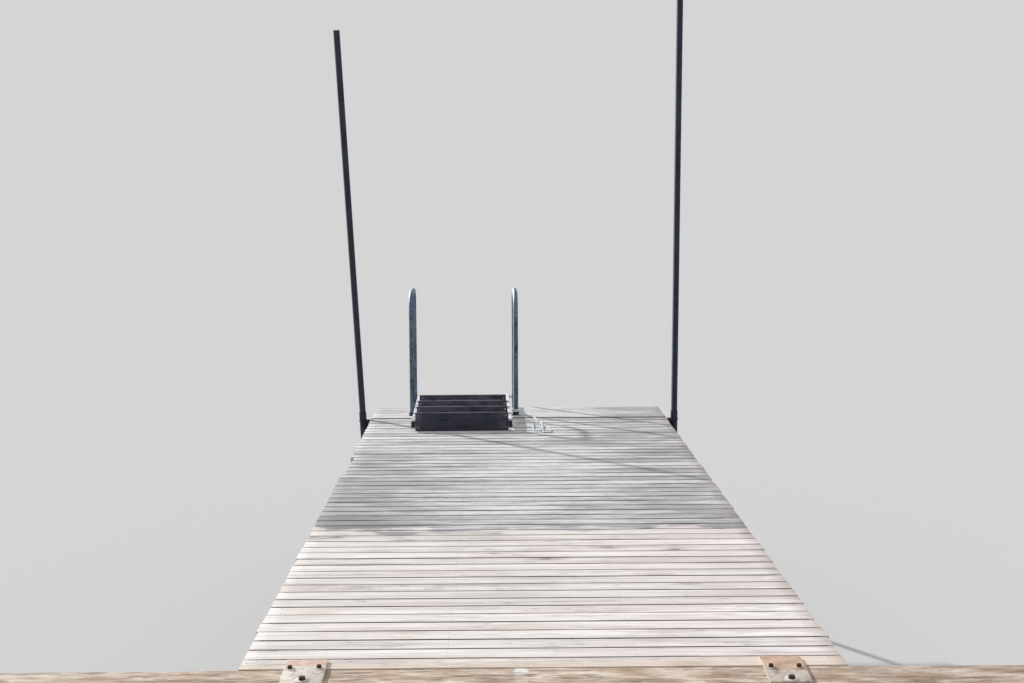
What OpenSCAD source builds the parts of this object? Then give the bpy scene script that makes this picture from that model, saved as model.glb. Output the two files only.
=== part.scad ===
// Bathing jetty: a narrow boarded deck that slopes gently down from a shore beam to two
// steel poles, with a bathing ladder folded up on its far end.
// Millimetres. +X is to the right seen from the shore, +Y runs out over the water, +Z is up.
// The origin is the centre of the middle shore pile's foot.

/* [Deck] */
// Length of a deck board, which is the deck's width
deck_w = 2000; // [1400:50:2600]
// Number of boards between the shore and the wide gap
board_count = 51; // [30:1:60]
// Width of a deck board
board_w = 94; // [70:1:120]
// Thickness of a deck board
board_t = 28; // [21:1:45]
// Gap between two deck boards
board_gap = 6; // [2:1:12]
// Fall of the deck towards the water, in degrees
deck_slope = 6; // [0:0.5:8]
// Height of the deck's top above the ground at its far end
far_top_z = 1200; // [1190:10:2000]

/* [End boards] */
// Number of boards beyond the wide gap
end_board_count = 4; // [3:1:6]
// Width of an end board
end_board_w = 110; // [90:1:140]
// Gap between two end boards
end_board_gap = 4; // [2:1:8]
// Width of the wide gap that the pole tie bar lies in
wide_gap = 26; // [20:1:40]

/* [Short boards] */
// Number of the first board that is cut short at its left end
short_first = 32; // [5:1:40]
// Number of boards that are cut short
short_count = 5; // [0:1:8]
// How much shorter these boards are
short_cut = 20; // [0:1:40]

/* [Frame timbers] */
// Thickness of joists and headers
timber_t = 45; // [36:1:70]
// Height of joists and headers
joist_h = 120; // [95:5:200]
// How far the boards stand out past the outer joists
side_overhang = 25; // [0:1:60]
// How far the last board stands out past the far header
far_overhang = 20; // [0:1:40]
// How far the first board stands out past the near header
near_overhang = 30; // [20:1:60]

/* [Shore end] */
// Length of the shore beam
beam_len = 4000; // [2600:50:5000]
// Width of the shore beam
beam_w = 220; // [180:5:320]
// Height of the shore beam
beam_h = 250; // [240:5:400]
// Bevel along the shore beam's upper edges
beam_bevel = 8; // [2:1:30]
// Gap between the shore beam and the first board
beam_gap = 3; // [2:1:20]
// Diameter of a shore pile
pile_d = 200; // [140:5:220]
// Distance between two shore piles
pile_spacing = 1600; // [900:50:1900]
// Width of the ledger that the joists rest on
ledger_w = 70; // [45:1:100]

/* [Tie plates] */
// Width of a tie plate
tie_w = 135; // [80:1:180]
// Thickness of a tie plate
tie_t = 10; // [5:1:15]
// Length of a tie plate on the deck
tie_deck_len = 65; // [50:1:180]
// Length of a tie plate on the shore beam
tie_beam_len = 140; // [80:1:170]
// Place of the left tie plate across the deck
tie_left_x = -778; // [-900:10:-400]
// Place of the right tie plate across the deck
tie_right_x = 783; // [400:10:900]

/* [Poles] */
// Outer diameter of a pole
pole_d = 42.4; // [33.7:0.1:60.3]
// Wall of a pole
pole_wall = 3.2; // [2:0.1:5]
// Height of the left pole above the deck
pole_left_rise = 2585; // [1500:5:3200]
// Height of the right pole above the deck
pole_right_rise = 3000; // [1500:50:3200]
// Distance from the deck's edge to a pole's centre
pole_offset = 58; // [50:1:90]
// Lean of the left pole to the left, in degrees
pole_left_lean = 2.4; // [-1:0.1:3.5]
// Lean of the right pole to the left, in degrees
pole_right_lean = 0.4; // [-1:0.1:2]
// Wall of a pole sleeve
sleeve_wall = 2.6; // [2:0.1:5]
// Clearance between a pole and its sleeve
sleeve_clear = 0.35; // [0.1:0.05:0.9]
// Height of a sleeve's top above the deck
sleeve_rise = 45; // [20:1:90]
// Depth of a sleeve's lower end below the deck's top
sleeve_drop = 190; // [150:5:260]
// Thickness of the steel tie bar between the sleeves
tie_bar_t = 16; // [8:1:18]
// Depth of the tie bar's top below the boards' tops
tie_bar_sink = 6; // [0:1:12]
// Thickness of the pole brackets' plates
bracket_t = 8; // [5:1:12]
// Width of a pole bracket's plate along the joist
bracket_w = 150; // [100:5:220]

/* [Handrails] */
// Outer diameter of a handrail tube
rail_tube_d = 33.7; // [26.9:0.1:42.4]
// Wall of a handrail tube
rail_tube_wall = 2.6; // [2:0.1:4]
// Height of a handrail above the deck
handrail_h = 855; // [700:5:1100]
// Distance between a handrail's two legs
handrail_depth = 465; // [300:5:500]
// Bend radius at a handrail's corners, to the tube's centre
handrail_bend = 120; // [80:5:140]
// Diameter of a handrail's foot socket
foot_d = 46; // [42:1:70]
// Height of a handrail's foot socket
foot_t = 22; // [8:1:28]

/* [Ladder] */
// Place of the ladder's centre across the deck
ladder_x = -388; // [-500:1:500]
// Turn of the ladder and its handrails on the deck, in degrees
ladder_yaw = 0.8; // [0:0.1:1.5]
// Length of a tread between the ladder's rails
tread_len = 600; // [480:1:700]
// Depth of a tread from front to back
tread_depth = 118; // [80:1:120]
// Thickness of a tread
tread_t = 28; // [20:1:36]
// How far a tread's centre stands off the rails' centre line
tread_shift = 10; // [0:1:14]
// Distance from tread to tread
tread_pitch = 245; // [200:1:280]
// Distance from the pivot to the first tread
first_tread = 372; // [300:1:400]
// Width of a ladder rail
rail_w = 25; // [20:1:35]
// Height of a ladder rail as it lies on the deck
rail_h = 42; // [30:1:50]
// Wall of a ladder rail
rail_wall = 2.5; // [1.5:0.1:4]
// Length of a ladder rail past the last tread
rail_tail = 25; // [20:1:80]
// Gap between the left ladder rail and the handrail beside it
rail_gap_left = 6; // [5:0.5:40]
// Gap between the right ladder rail and the handrail beside it
rail_gap_right = 24; // [5:0.5:40]
// Distance from the deck's far edge to the pivot
pivot_out = 130; // [115:1:180]
// Height of the pivot above the deck
pivot_z = 60; // [58:1:90]
// Diameter of a pivot bolt
pivot_d = 12; // [10:1:16]
// Radial clearance of a pivot bolt in the ladder rail
pivot_clear = 0.08; // [0.03:0.01:0.1]

/* [Pull rope] */
// Diameter of the rope that lies on the deck
rope_d = 10; // [6:0.5:12]
// Number of turns of the rope round the right handrail's inner leg
hitch_turns = 2; // [1:1:2]

/* [Hidden] */

$fn = 48;
LEFT = -1;
RIGHT = 1;
far = 4000;

// Lengths along the deck, measured on its top from the shore end
board_pitch = board_w + board_gap;
gap_start = board_count * board_pitch - board_gap;
gap_mid = gap_start + wide_gap / 2;
end_start = gap_start + wide_gap;
deck_len = end_start + end_board_count * (end_board_w + end_board_gap) - end_board_gap;
frame_end = deck_len - far_overhang;
joist_start = near_overhang + timber_t;
joist_end = frame_end - timber_t;
joist_bottom = -board_t - joist_h;

// Heights and places at the shore end
near_top_z = far_top_z + deck_len * sin(deck_slope);
deck_start_y = beam_w / 2 + beam_gap;
pile_h = near_top_z - beam_h;
outer_joist_x = deck_w / 2 - side_overhang - timber_t / 2;
inner_joist_x = outer_joist_x / 3;
board_groups = 5;
group_size = ceil(board_count / board_groups);

// Poles and sleeves
sleeve_bore = pole_d / 2 + sleeve_clear;
sleeve_r = sleeve_bore + sleeve_wall;
pole_x = deck_w / 2 + pole_offset;

// Handrails and ladder, in a frame at the middle of the ladder on the deck's far edge
tube_r = rail_tube_d / 2;
rail_x = tread_len / 2 + rail_w / 2;
near_leg_y = pivot_out - handrail_depth;
tread_count = 4;
last_tread = first_tread + (tread_count - 1) * tread_pitch;
rail_reach = last_tread + rail_tail;
tread_low = tread_shift - tread_depth / 2;
seat_clear = 0.5;
fold_tilt = asin((pivot_z + tread_low - seat_clear) / last_tread);
bracket_arm_w = 20;
bracket_arm_h = 50;
bracket_arm_z = -100;
leg_end_z = -130;
bolt_clear = 0.2;
rail_round = 3;
tread_round = 4;

// Pull rope: its route on the deck, as places across and along the deck and heights above it
rope_lift = rope_d / 2 + 0.5;
rope_points = [
    [7, 5228.8, 27.5], [25, 5217, 25], [43.5, 5199, 16], [60.5, 5177, 8], [77.5, 5152, rope_lift],
    [95, 5120, rope_lift], [110, 5068, rope_lift], [118.5, 4996, rope_lift], [128.5, 4908, rope_lift],
    [143, 4828, rope_lift], [161, 4752, rope_lift], [178, 4688, rope_lift], [191, 4620, rope_lift],
    [196.5, 4562, rope_lift], [196, 4522, rope_lift], [189, 4505.5, rope_lift],
    [172.5, 4499, rope_lift], [155.2, 4507, rope_lift], [148.5, 4523, rope_lift],
    [147.5, 4580, rope_lift], [147.5, 4645, rope_lift], [147.5, 4710, 9.5], [148, 4765, 15.5],
    [144, 4808, 17], [136.5, 4830, 15.5], [118, 4838.5, 9.5], [99.5, 4830, rope_lift],
    [92, 4808, rope_lift], [89.5, 4755, rope_lift], [88.5, 4705, rope_lift], [88.5, 4635, rope_lift],
    [89.2, 4585, rope_lift], [96, 4567, rope_lift], [112.5, 4560, rope_lift], [129, 4567, rope_lift],
    [136, 4585, rope_lift], [136, 4630, rope_lift], [135, 4672, rope_lift]
];
rope_steps = 3;
rope_sides = 8;

// Gap between a ladder rail and its handrail, and the handrail's place across the ladder
function rail_gap(side) = side == LEFT ? rail_gap_left : rail_gap_right;
function tube_x(side) = side * (tread_len / 2 + rail_w + rail_gap(side) + tube_r);

// Puts children on the sloping deck: x across it, y along it from the shore end, z from its top
module on_deck() {
    translate([0, deck_start_y, near_top_z]) rotate([-deck_slope, 0, 0]) children();
}

// Puts children at the ladder: x across, y outwards from the deck's far edge, z from its top
module at_ladder() {
    on_deck() translate([ladder_x, deck_len, 0]) rotate([0, 0, ladder_yaw]) children();
}

// Puts children in the folded ladder's frame: the pivot is its origin and the rails run to -y
module on_ladder() {
    at_ladder() translate([0, pivot_out, pivot_z]) rotate([fold_tilt, 0, 0]) children();
}

// Puts children on a pole's axis, with their origin where it passes the deck's top
module on_pole(side) {
    lean = side == LEFT ? pole_left_lean : pole_right_lean;
    on_deck() translate([side * pole_x, gap_mid, 0])
        rotate([deck_slope, 0, 0]) rotate([0, -lean, 0]) children();
}

// A box centred across x
module bar(w, d, h) {
    translate([-w / 2, 0, 0]) cube([w, d, h]);
}

// A box that keeps everything below the level given, seen from the ground
module below_ground() {
    translate([-far, -far, -far]) cube([2 * far, 4 * far, far]);
}

// A rectangle with round corners, centred
module rounded_rectangle(w, h, r) {
    square([w - 2 * r, h], center = true);
    square([w, h - 2 * r], center = true);
    for (x = [-1, 1], y = [-1, 1])
        translate([x * (w / 2 - r), y * (h / 2 - r)]) circle(r);
}

module tube(r, wall, h) {
    difference() {
        cylinder(r = r, h = h);
        translate([0, 0, -1]) cylinder(r = r - wall, h = h + 2);
    }
}

// Shore end
module shore_beam() {
    half = beam_w / 2;
    color("tan")
        translate([-beam_len / 2, 0, pile_h]) rotate([90, 0, 90]) linear_extrude(beam_len)
            polygon([
                [-half, 0], [half, 0], [half, beam_h - beam_bevel], [half - beam_bevel, beam_h],
                [beam_bevel - half, beam_h], [-half, beam_h - beam_bevel]
            ]);
}

module shore_pile(place) {
    color("sienna") translate([place * pile_spacing, 0, 0]) cylinder(d = pile_d, h = pile_h);
}

module ledger() {
    ledger_h = beam_h + joist_bottom;
    color("sienna") difference() {
        translate([0, beam_w / 2, pile_h]) bar(2 * outer_joist_x + timber_t, ledger_w, ledger_h);
        on_deck() translate([0, -far / 2, joist_bottom]) bar(2 * deck_w, far, joist_h);
    }
}

// A steel plate bent to lie on the level beam and on the sloping deck
module tie_plate(x) {
    end_y = tie_deck_len * cos(deck_slope);
    end_z = -tie_deck_len * sin(deck_slope);
    color("silver") translate([x, deck_start_y, near_top_z]) rotate([90, 0, 90])
        linear_extrude(tie_w, center = true)
            polygon([
                [-tie_beam_len, 0], [0, 0], [end_y, end_z],
                [end_y + tie_t * sin(deck_slope), end_z + tie_t * cos(deck_slope)],
                [tie_t * tan(deck_slope / 2), tie_t], [-tie_beam_len, tie_t]
            ]);
}

// Frame under the deck
module near_header() {
    color("peru") on_deck() translate([0, near_overhang, joist_bottom])
        bar(2 * outer_joist_x + timber_t, timber_t, joist_h);
}

module far_header() {
    color("peru") on_deck() translate([0, joist_end, joist_bottom])
        bar(2 * outer_joist_x + timber_t, timber_t, joist_h);
}

module joist(x) {
    color("peru") on_deck() translate([x, joist_start, joist_bottom])
        bar(timber_t, joist_end - joist_start, joist_h);
}

module blocking() {
    bay = inner_joist_x * 2 - timber_t;
    color("peru") on_deck() for (row = [1, 2], x = [-1, 0, 1])
        translate([x * 2 * inner_joist_x, row * deck_len / 3, joist_bottom]) bar(bay, timber_t, joist_h);
}

// Deck boards
module deck_board(i) {
    cut = i >= short_first && i < short_first + short_count ? short_cut : 0;
    translate([cut - deck_w / 2, i * board_pitch, -board_t]) cube([deck_w - cut, board_w, board_t]);
}

module deck_boards(group) {
    color("gainsboro") on_deck()
        for (i = [(group - 1) * group_size : min(group * group_size, board_count) - 1]) deck_board(i);
}

module end_boards() {
    color("gainsboro") on_deck() for (i = [0 : end_board_count - 1])
        translate([0, end_start + i * (end_board_w + end_board_gap), -board_t])
            bar(deck_w, end_board_w, board_t);
}

// Poles and what holds them
module pole(side) {
    rise = side == LEFT ? pole_left_rise : pole_right_rise;
    color("dimgray") difference() {
        on_pole(side) translate([0, 0, -far]) tube(pole_d / 2, pole_wall, far + rise);
        below_ground();
    }
}

module pole_sleeve(side) {
    color("dimgray") on_pole(side) translate([0, 0, -sleeve_drop])
        tube(sleeve_r, sleeve_wall, sleeve_drop + sleeve_rise);
}

module sleeve_space(side) {
    on_pole(side) translate([0, 0, -far / 2]) cylinder(r = sleeve_r, h = far);
}

module pole_tie_bar() {
    color("dimgray") difference() {
        on_deck() translate([0, gap_mid - tie_bar_t / 2, -board_t])
            bar(2 * pole_x, tie_bar_t, board_t - tie_bar_sink);
        sleeve_space(LEFT);
        sleeve_space(RIGHT);
    }
}

// A plate on the outer joist with a web that reaches out to the sleeve
module pole_bracket(side) {
    joist_face = outer_joist_x + timber_t / 2;
    web_end = pole_x - sleeve_r / 2;
    web_drop = 45;
    color("dimgray") difference() {
        on_deck() translate([0, gap_mid, 0]) {
            translate([side * (joist_face + bracket_t / 2), -bracket_w / 2, joist_bottom])
                bar(bracket_t, bracket_w, joist_h);
            translate([0, bracket_t / 2, 0]) rotate([90, 0, 0]) linear_extrude(bracket_t)
                polygon([
                    [side * (joist_face + bracket_t), -board_t], [side * web_end, -board_t],
                    [side * web_end, joist_bottom - web_drop],
                    [side * (joist_face + bracket_t), joist_bottom]
                ]);
        }
        sleeve_space(side);
    }
}

// Handrails: one bent tube each, from a foot socket on the deck over to the pivot past its end
module handrail_shape(r, past) {
    top_z = handrail_h - tube_r;
    leg_top = top_z - handrail_bend;
    translate([0, near_leg_y, foot_t - past]) cylinder(r = r, h = leg_top - foot_t + past);
    translate([0, pivot_out, leg_end_z - past]) cylinder(r = r, h = leg_top - leg_end_z + past);
    translate([0, near_leg_y + handrail_bend, top_z]) rotate([-90, 0, 0])
        cylinder(r = r, h = handrail_depth - 2 * handrail_bend);
    translate([0, near_leg_y + handrail_bend, leg_top]) rotate([90, 0, -90])
        rotate_extrude(angle = 90) translate([handrail_bend, 0]) circle(r);
    translate([0, pivot_out - handrail_bend, leg_top]) rotate([90, 0, 90])
        rotate_extrude(angle = 90) translate([handrail_bend, 0]) circle(r);
}

module handrail(side) {
    color("silver") at_ladder() difference() {
        translate([tube_x(side), 0, 0]) handrail_shape(tube_r, 0);
        translate([tube_x(side), 0, 0]) handrail_shape(tube_r - rail_tube_wall, 1);
        translate([tube_x(side), pivot_out, pivot_z]) rotate([0, 90, 0])
            cylinder(r = pivot_d / 2 + bolt_clear, h = 2 * rail_tube_d, center = true);
    }
}

module handrail_foot(side) {
    color("#2b2b2b") at_ladder() translate([tube_x(side), near_leg_y, 0]) cylinder(d = foot_d, h = foot_t);
}

// An arm from the far header to the handrail's outer leg, with its end plate
module handrail_bracket(side) {
    plate_w = 80;
    plate_h = 96;
    plate_top = -board_t - 10;
    color("silver") {
        on_deck() translate([ladder_x + tube_x(side), frame_end, plate_top - plate_h])
            bar(plate_w, bracket_t, plate_h);
        difference() {
            at_ladder() translate([tube_x(side), -far_overhang - timber_t, bracket_arm_z])
                bar(bracket_arm_w, pivot_out + far_overhang + timber_t, bracket_arm_h);
            on_deck() translate([0, frame_end - far, -far / 2]) bar(far, far, far);
            at_ladder() translate([tube_x(side), pivot_out, -far / 2]) cylinder(r = tube_r, h = far);
        }
    }
}

// Bolt that the ladder turns on, with a collar between rail and handrail and a nut inside the rail
module pivot_bolt(side) {
    inner_x = tread_len / 2 - seat_clear;
    collar_x = tread_len / 2 + rail_w + seat_clear;
    nut_t = 10;
    head_t = 8;
    head_r = 0.9 * pivot_d;
    shank_end = side * tube_x(side) + tube_r + seat_clear;
    color("silver") at_ladder() translate([0, pivot_out, pivot_z]) rotate([0, side * 90, 0]) {
        translate([0, 0, inner_x - nut_t]) cylinder(r = pivot_d / 2, h = shank_end + nut_t - inner_x);
        translate([0, 0, inner_x - nut_t]) cylinder(r = head_r, h = nut_t, $fn = 6);
        translate([0, 0, collar_x]) cylinder(r = pivot_d, h = rail_gap(side) - 2 * seat_clear);
        translate([0, 0, shank_end]) cylinder(r = head_r, h = head_t, $fn = 6);
    }
}

// Ladder
module ladder_rail(side) {
    end_r = rail_h / 2;
    color("gainsboro") on_ladder() translate([side * rail_x, 0, 0]) difference() {
        union() {
            rotate([90, 0, 0]) linear_extrude(rail_reach) rounded_rectangle(rail_w, rail_h, rail_round);
            rotate([0, 90, 0]) cylinder(r = end_r, h = rail_w, center = true);
        }
        translate([0, -end_r, 0]) rotate([90, 0, 0]) linear_extrude(rail_reach)
            square([rail_w - 2 * rail_wall, rail_h - 2 * rail_wall], center = true);
        rotate([0, 90, 0]) cylinder(r = pivot_d / 2 + pivot_clear, h = 2 * rail_w, center = true);
    }
}

module ladder_tread(n) {
    face = first_tread + (n - 1) * tread_pitch;
    color("#3a332e") on_ladder() translate([0, -face, tread_shift])
        rotate([90, 0, 90]) linear_extrude(tread_len, center = true)
            translate([tread_t / 2, 0]) rounded_rectangle(tread_t, tread_depth, tread_round);
}

module rail_plug(side) {
    cap_t = 4;
    stub = 25;
    inside = 2 * (rail_wall + bolt_clear);
    color("#1c1c1c") on_ladder() translate([side * rail_x, -rail_reach, 0]) rotate([90, 0, 0]) {
        linear_extrude(cap_t) rounded_rectangle(rail_w, rail_h, rail_round);
        translate([0, 0, -stub]) linear_extrude(stub)
            square([rail_w - inside, rail_h - inside], center = true);
    }
}

// Eye that the pull-up rope is tied to, on the right rail's lower end
module pull_eye() {
    eye_r = 12;
    wire_r = 4;
    stem = 6;
    base_r = 9;
    base_t = 3;
    eye_y = 10 - last_tread;
    color("silver") on_ladder() translate([rail_x + rail_w / 2, eye_y, 0]) {
        rotate([0, 90, 0]) cylinder(r = base_r, h = base_t);
        rotate([0, 90, 0]) cylinder(r = wire_r, h = stem + wire_r);
        translate([stem + eye_r, 0, 0]) rotate([90, 0, 0])
            rotate_extrude() translate([eye_r, 0]) circle(wire_r);
    }
}

// Pull rope: a hitch round the handrail's leg, and the length that lies on the deck
module rope_hitch() {
    ring_r = tube_r + seat_clear + rope_d / 2;
    color("azure") at_ladder() translate([tube_x(RIGHT), near_leg_y, foot_t + seat_clear + rope_d / 2])
        rotate_extrude() for (turn = [0 : hitch_turns - 1])
            translate([ring_r, turn * rope_d * 0.9]) circle(d = rope_d);
}

// A place on the smooth curve through the points p, at the share t of the way from p[i] to the next
function curve_place(p, i, t) =
    let (a = p[max(i - 1, 0)], b = p[i], c = p[i + 1], d = p[min(i + 2, len(p) - 1)])
    b + t / 2 * (c - a + t * (2 * a - 5 * b + 4 * c - d + t * (3 * b - a - 3 * c + d)));

function direction(v) = v / norm(v);

module pull_rope() {
    last = len(rope_points) - 1;
    path = [
        for (i = [0 : last - 1], s = [0 : rope_steps - 1]) curve_place(rope_points, i, s / rope_steps),
        rope_points[last]
    ];
    rings = len(path);
    sides = [for (k = [0 : rings - 1])
        direction(cross(path[min(k + 1, rings - 1)] - path[max(k - 1, 0)], [0, 0, 1]))];
    places = [for (k = [0 : rings - 1], a = [0 : rope_sides - 1])
        path[k] + rope_d / 2 * (cos(a * 360 / rope_sides) * sides[k] + [0, 0, sin(a * 360 / rope_sides)])];
    walls = [for (k = [0 : rings - 2], a = [0 : rope_sides - 1])
        let (b = (a + 1) % rope_sides, low = k * rope_sides, high = low + rope_sides)
        each [[low + a, low + b, high + b], [low + a, high + b, high + a]]];
    start = [for (a = [rope_sides - 1 : -1 : 0]) a];
    end = [for (a = [0 : rope_sides - 1]) (rings - 1) * rope_sides + a];
    color("azure") on_deck() polyhedron(places, [start, each walls, end]);
}

shore_beam();
shore_pile(-1);  // pile_left
shore_pile(0);  // pile_centre
shore_pile(1);  // pile_right
ledger();
tie_plate(tie_left_x);  // tie_plate_left
tie_plate(tie_right_x);  // tie_plate_right
near_header();
far_header();
joist(-outer_joist_x);  // joist_left_outer
joist(-inner_joist_x);  // joist_left_inner
joist(inner_joist_x);  // joist_right_inner
joist(outer_joist_x);  // joist_right_outer
blocking();
deck_boards(1);  // deck_boards_1
deck_boards(2);  // deck_boards_2
deck_boards(3);  // deck_boards_3
deck_boards(4);  // deck_boards_4
deck_boards(5);  // deck_boards_5
end_boards();
pole_tie_bar();
pole_bracket(LEFT);  // pole_bracket_left
pole_bracket(RIGHT);  // pole_bracket_right
pole_sleeve(LEFT);  // pole_sleeve_left
pole_sleeve(RIGHT);  // pole_sleeve_right
pole(LEFT);  // pole_left
pole(RIGHT);  // pole_right
handrail(LEFT);  // handrail_left
handrail(RIGHT);  // handrail_right
handrail_foot(LEFT);  // handrail_foot_left
handrail_foot(RIGHT);  // handrail_foot_right
handrail_bracket(LEFT);  // handrail_bracket_left
handrail_bracket(RIGHT);  // handrail_bracket_right
pivot_bolt(LEFT);  // pivot_bolt_left
pivot_bolt(RIGHT);  // pivot_bolt_right
ladder_rail(LEFT);  // ladder_rail_left
ladder_rail(RIGHT);  // ladder_rail_right
ladder_tread(1);  // ladder_tread_1
ladder_tread(2);  // ladder_tread_2
ladder_tread(3);  // ladder_tread_3
ladder_tread(4);  // ladder_tread_4
rail_plug(LEFT);  // rail_plug_left
rail_plug(RIGHT);  // rail_plug_right
pull_eye();
rope_hitch();
pull_rope();
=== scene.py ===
"""Bathing jetty: a sloping boarded deck with two poles, two handrails and a folded bathing ladder.

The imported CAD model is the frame. Timber is made by Geometry Nodes from one bar to a run, steel is a
smoothed copy of its CAD node or a tube swept along its line, and every finish is procedural.
"""

from __future__ import annotations

import logging
import math
from collections.abc import Mapping, Sequence
from dataclasses import dataclass, field
from enum import Enum
from typing import ClassVar

import bmesh
import bpy
import numpy as np
from mathutils import Matrix, Vector


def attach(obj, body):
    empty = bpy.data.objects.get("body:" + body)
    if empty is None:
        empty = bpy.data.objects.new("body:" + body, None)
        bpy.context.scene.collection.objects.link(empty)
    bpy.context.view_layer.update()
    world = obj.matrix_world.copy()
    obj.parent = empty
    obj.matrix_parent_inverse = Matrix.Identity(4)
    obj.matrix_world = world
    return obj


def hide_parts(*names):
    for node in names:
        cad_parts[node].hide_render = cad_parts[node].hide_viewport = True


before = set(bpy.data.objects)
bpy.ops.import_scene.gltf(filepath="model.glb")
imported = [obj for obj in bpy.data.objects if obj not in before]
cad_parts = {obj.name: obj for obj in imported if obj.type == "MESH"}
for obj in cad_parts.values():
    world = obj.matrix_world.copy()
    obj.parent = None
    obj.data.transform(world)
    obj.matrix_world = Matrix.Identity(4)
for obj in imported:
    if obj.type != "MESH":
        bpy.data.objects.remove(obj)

log = logging.getLogger("jetty")

Colour = tuple[float, float, float]
Place = tuple[float, float, float]
Value = object
Inputs = Mapping[str | int, Value]

# The deck slopes away from the shore beam: its frame has x across, y along the top and z off it
SLOPE = math.radians(6.0)
DECK_LENGTH = 5.572
DECK_WIDTH = 2.0
DECK_START = 0.113
FAR_TOP = 1.2
NEAR_TOP = FAR_TOP + DECK_LENGTH * math.sin(SLOPE)
BEAM_HEIGHT = 0.25
BEAM_FOOT = NEAR_TOP - BEAM_HEIGHT
BOARD_THICKNESS = 0.028
BOARD_PITCH = 0.1
GAP_MIDDLE = 5.107
JOIST_X = 0.9525
JOIST_PITCH = 0.635
FRAME_THICKNESS = 0.045
FRAME_DEPTH = 0.12
JOIST_START = 0.075
JOIST_END = 5.507
DECK = Matrix.Translation((0.0, DECK_START, NEAR_TOP)) @ Matrix.Rotation(-SLOPE, 4, "X")
LADDER_X = -0.388
LADDER_YAW = math.radians(0.8)
LADDER = DECK @ Matrix.Translation((LADDER_X, DECK_LENGTH, 0.0)) @ Matrix.Rotation(LADDER_YAW, 4, "Z")
PIVOT = (0.0, 0.13, 0.06)
FOLD_TILT = math.radians(0.5435)
FOLDED = LADDER @ Matrix.Translation(PIVOT) @ Matrix.Rotation(FOLD_TILT, 4, "X")
ALONG = Matrix.Rotation(math.radians(90.0), 4, "Z")

# The sides on which steel is painted paler, a painted sunlit side towards the key lamp, the second of them
# out of sight from the shore
PAINTED_SUNLIT_SIDE = (-0.87, 0.48, 0.1)
PAINTED_SUNLIT_FAR_SIDE = (-0.6, 0.8, 0.0)

# The radius of a sawn timber's edges, and how far a washer goes into what it lies on
SAWN_EDGE = 0.003
SUNK = 0.001

# The step of a run that has only one part in that direction
NO_STEP = (0.0, 0.0, 0.0)


class Side(Enum):
    """Left or right of the deck, seen from the shore."""

    LEFT = -1
    RIGHT = 1

    @property
    def label(self) -> str:
        """The word that CAD nodes end in."""
        return self.name.lower()


class Body(Enum):
    """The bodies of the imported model."""

    JETTY = "jetty"
    LADDER = "ladder"


def paint(red: int, green: int, blue: int) -> Colour:
    """A colour off a paint chart in linear light.

    Args:
        red, green, blue: the chart's numbers, from 0 to 255.

    Returns:
        The colour that a shader's socket takes.
    """
    shares = [part / 255.0 for part in (red, green, blue)]
    linear = [s / 12.92 if s <= 0.04045 else ((s + 0.055) / 1.055) ** 2.4 for s in shares]
    return (linear[0], linear[1], linear[2])


def darker(colour: Colour, share: float) -> Colour:
    """A colour with each of its parts times share."""
    return (share * colour[0], share * colour[1], share * colour[2])


# Shapes


@dataclass
class Shape:
    """Corners and faces of a solid while it is being made, with faces outwards."""

    points: np.ndarray
    faces: list[tuple[int, ...]]

    def moved(self, place: Matrix) -> Shape:
        """The same solid at another place."""
        turned = self.points @ np.array(place.to_3x3()).T + np.array(place.translation)
        return Shape(turned, list(self.faces))

    def __add__(self, other: Shape) -> Shape:
        """Both solids together."""
        start = len(self.points)
        shifted = [tuple(corner + start for corner in face) for face in other.faces]
        return Shape(np.vstack([self.points, other.points]), self.faces + shifted)

    def mesh(self, name: str, crease: float = 35.0) -> bpy.types.Mesh:
        """The solid as a Blender mesh, smooth except at edges sharper than crease, in degrees."""
        mesh = bpy.data.meshes.new(name)
        mesh.from_pydata([tuple(point) for point in self.points], [], self.faces)
        mesh.update()
        smooth_by_angle(mesh, crease)
        return mesh


def smooth_by_angle(mesh: bpy.types.Mesh, crease: float) -> None:
    """Shades a mesh smooth and keeps its edges sharp.

    Args:
        mesh: the mesh that is changed.
        crease: the angle between two faces, in degrees, from which their edge stays sharp.
    """
    work = bmesh.new()
    work.from_mesh(mesh)
    for face in work.faces:
        face.smooth = True
    for edge in work.edges:
        edge.smooth = not edge.is_manifold or edge.calc_face_angle() < math.radians(crease)
    work.to_mesh(mesh)
    work.free()


def exposed(mesh: bpy.types.Mesh, towards: Place = PAINTED_SUNLIT_SIDE, domain: str = "POINT") -> None:
    """Stores how far each point or face of a mesh faces the painted sunlit side, in its attribute sun.

    Args:
        mesh: the mesh that gets the attribute.
        towards: the direction of the painted sunlit side, towards the key lamp.
        domain: POINT, or FACE where flat sides meet.
    """
    parts = mesh.vertices if domain == "POINT" else mesh.polygons
    normals = np.array([part.normal for part in parts])
    shares = (normals @ np.array(towards)).astype(np.float32)
    mesh.attributes.new("sun", "FLOAT", domain).data.foreach_set("value", shares)


def around(sides: int) -> np.ndarray:
    """The angles of the corners of a ring with so many sides."""
    return np.arange(sides) * 2.0 * math.pi / sides


def lathe(profile: Sequence[tuple[float, float]], sides: int) -> Shape:
    """A solid turned round z.

    Args:
        profile: radius and height from the axis at the bottom, outwards, to the axis at the top.
        sides: the number of sides round it.

    Returns:
        The closed solid.
    """
    rings = profile[1:-1]
    points = [(0.0, 0.0, profile[0][1])]
    for radius, height in rings:
        points += [(radius * math.cos(a), radius * math.sin(a), height) for a in around(sides)]
    points.append((0.0, 0.0, profile[-1][1]))
    top = len(points) - 1
    faces: list[tuple[int, ...]] = []
    for k in range(sides):
        after = (k + 1) % sides
        faces.append((0, 1 + after, 1 + k))
        for ring in range(len(rings) - 1):
            low = 1 + ring * sides
            high = low + sides
            faces.append((low + k, low + after, high + after, high + k))
        last = 1 + (len(rings) - 1) * sides
        faces.append((last + k, last + after, top))
    return Shape(np.array(points), faces)


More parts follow.
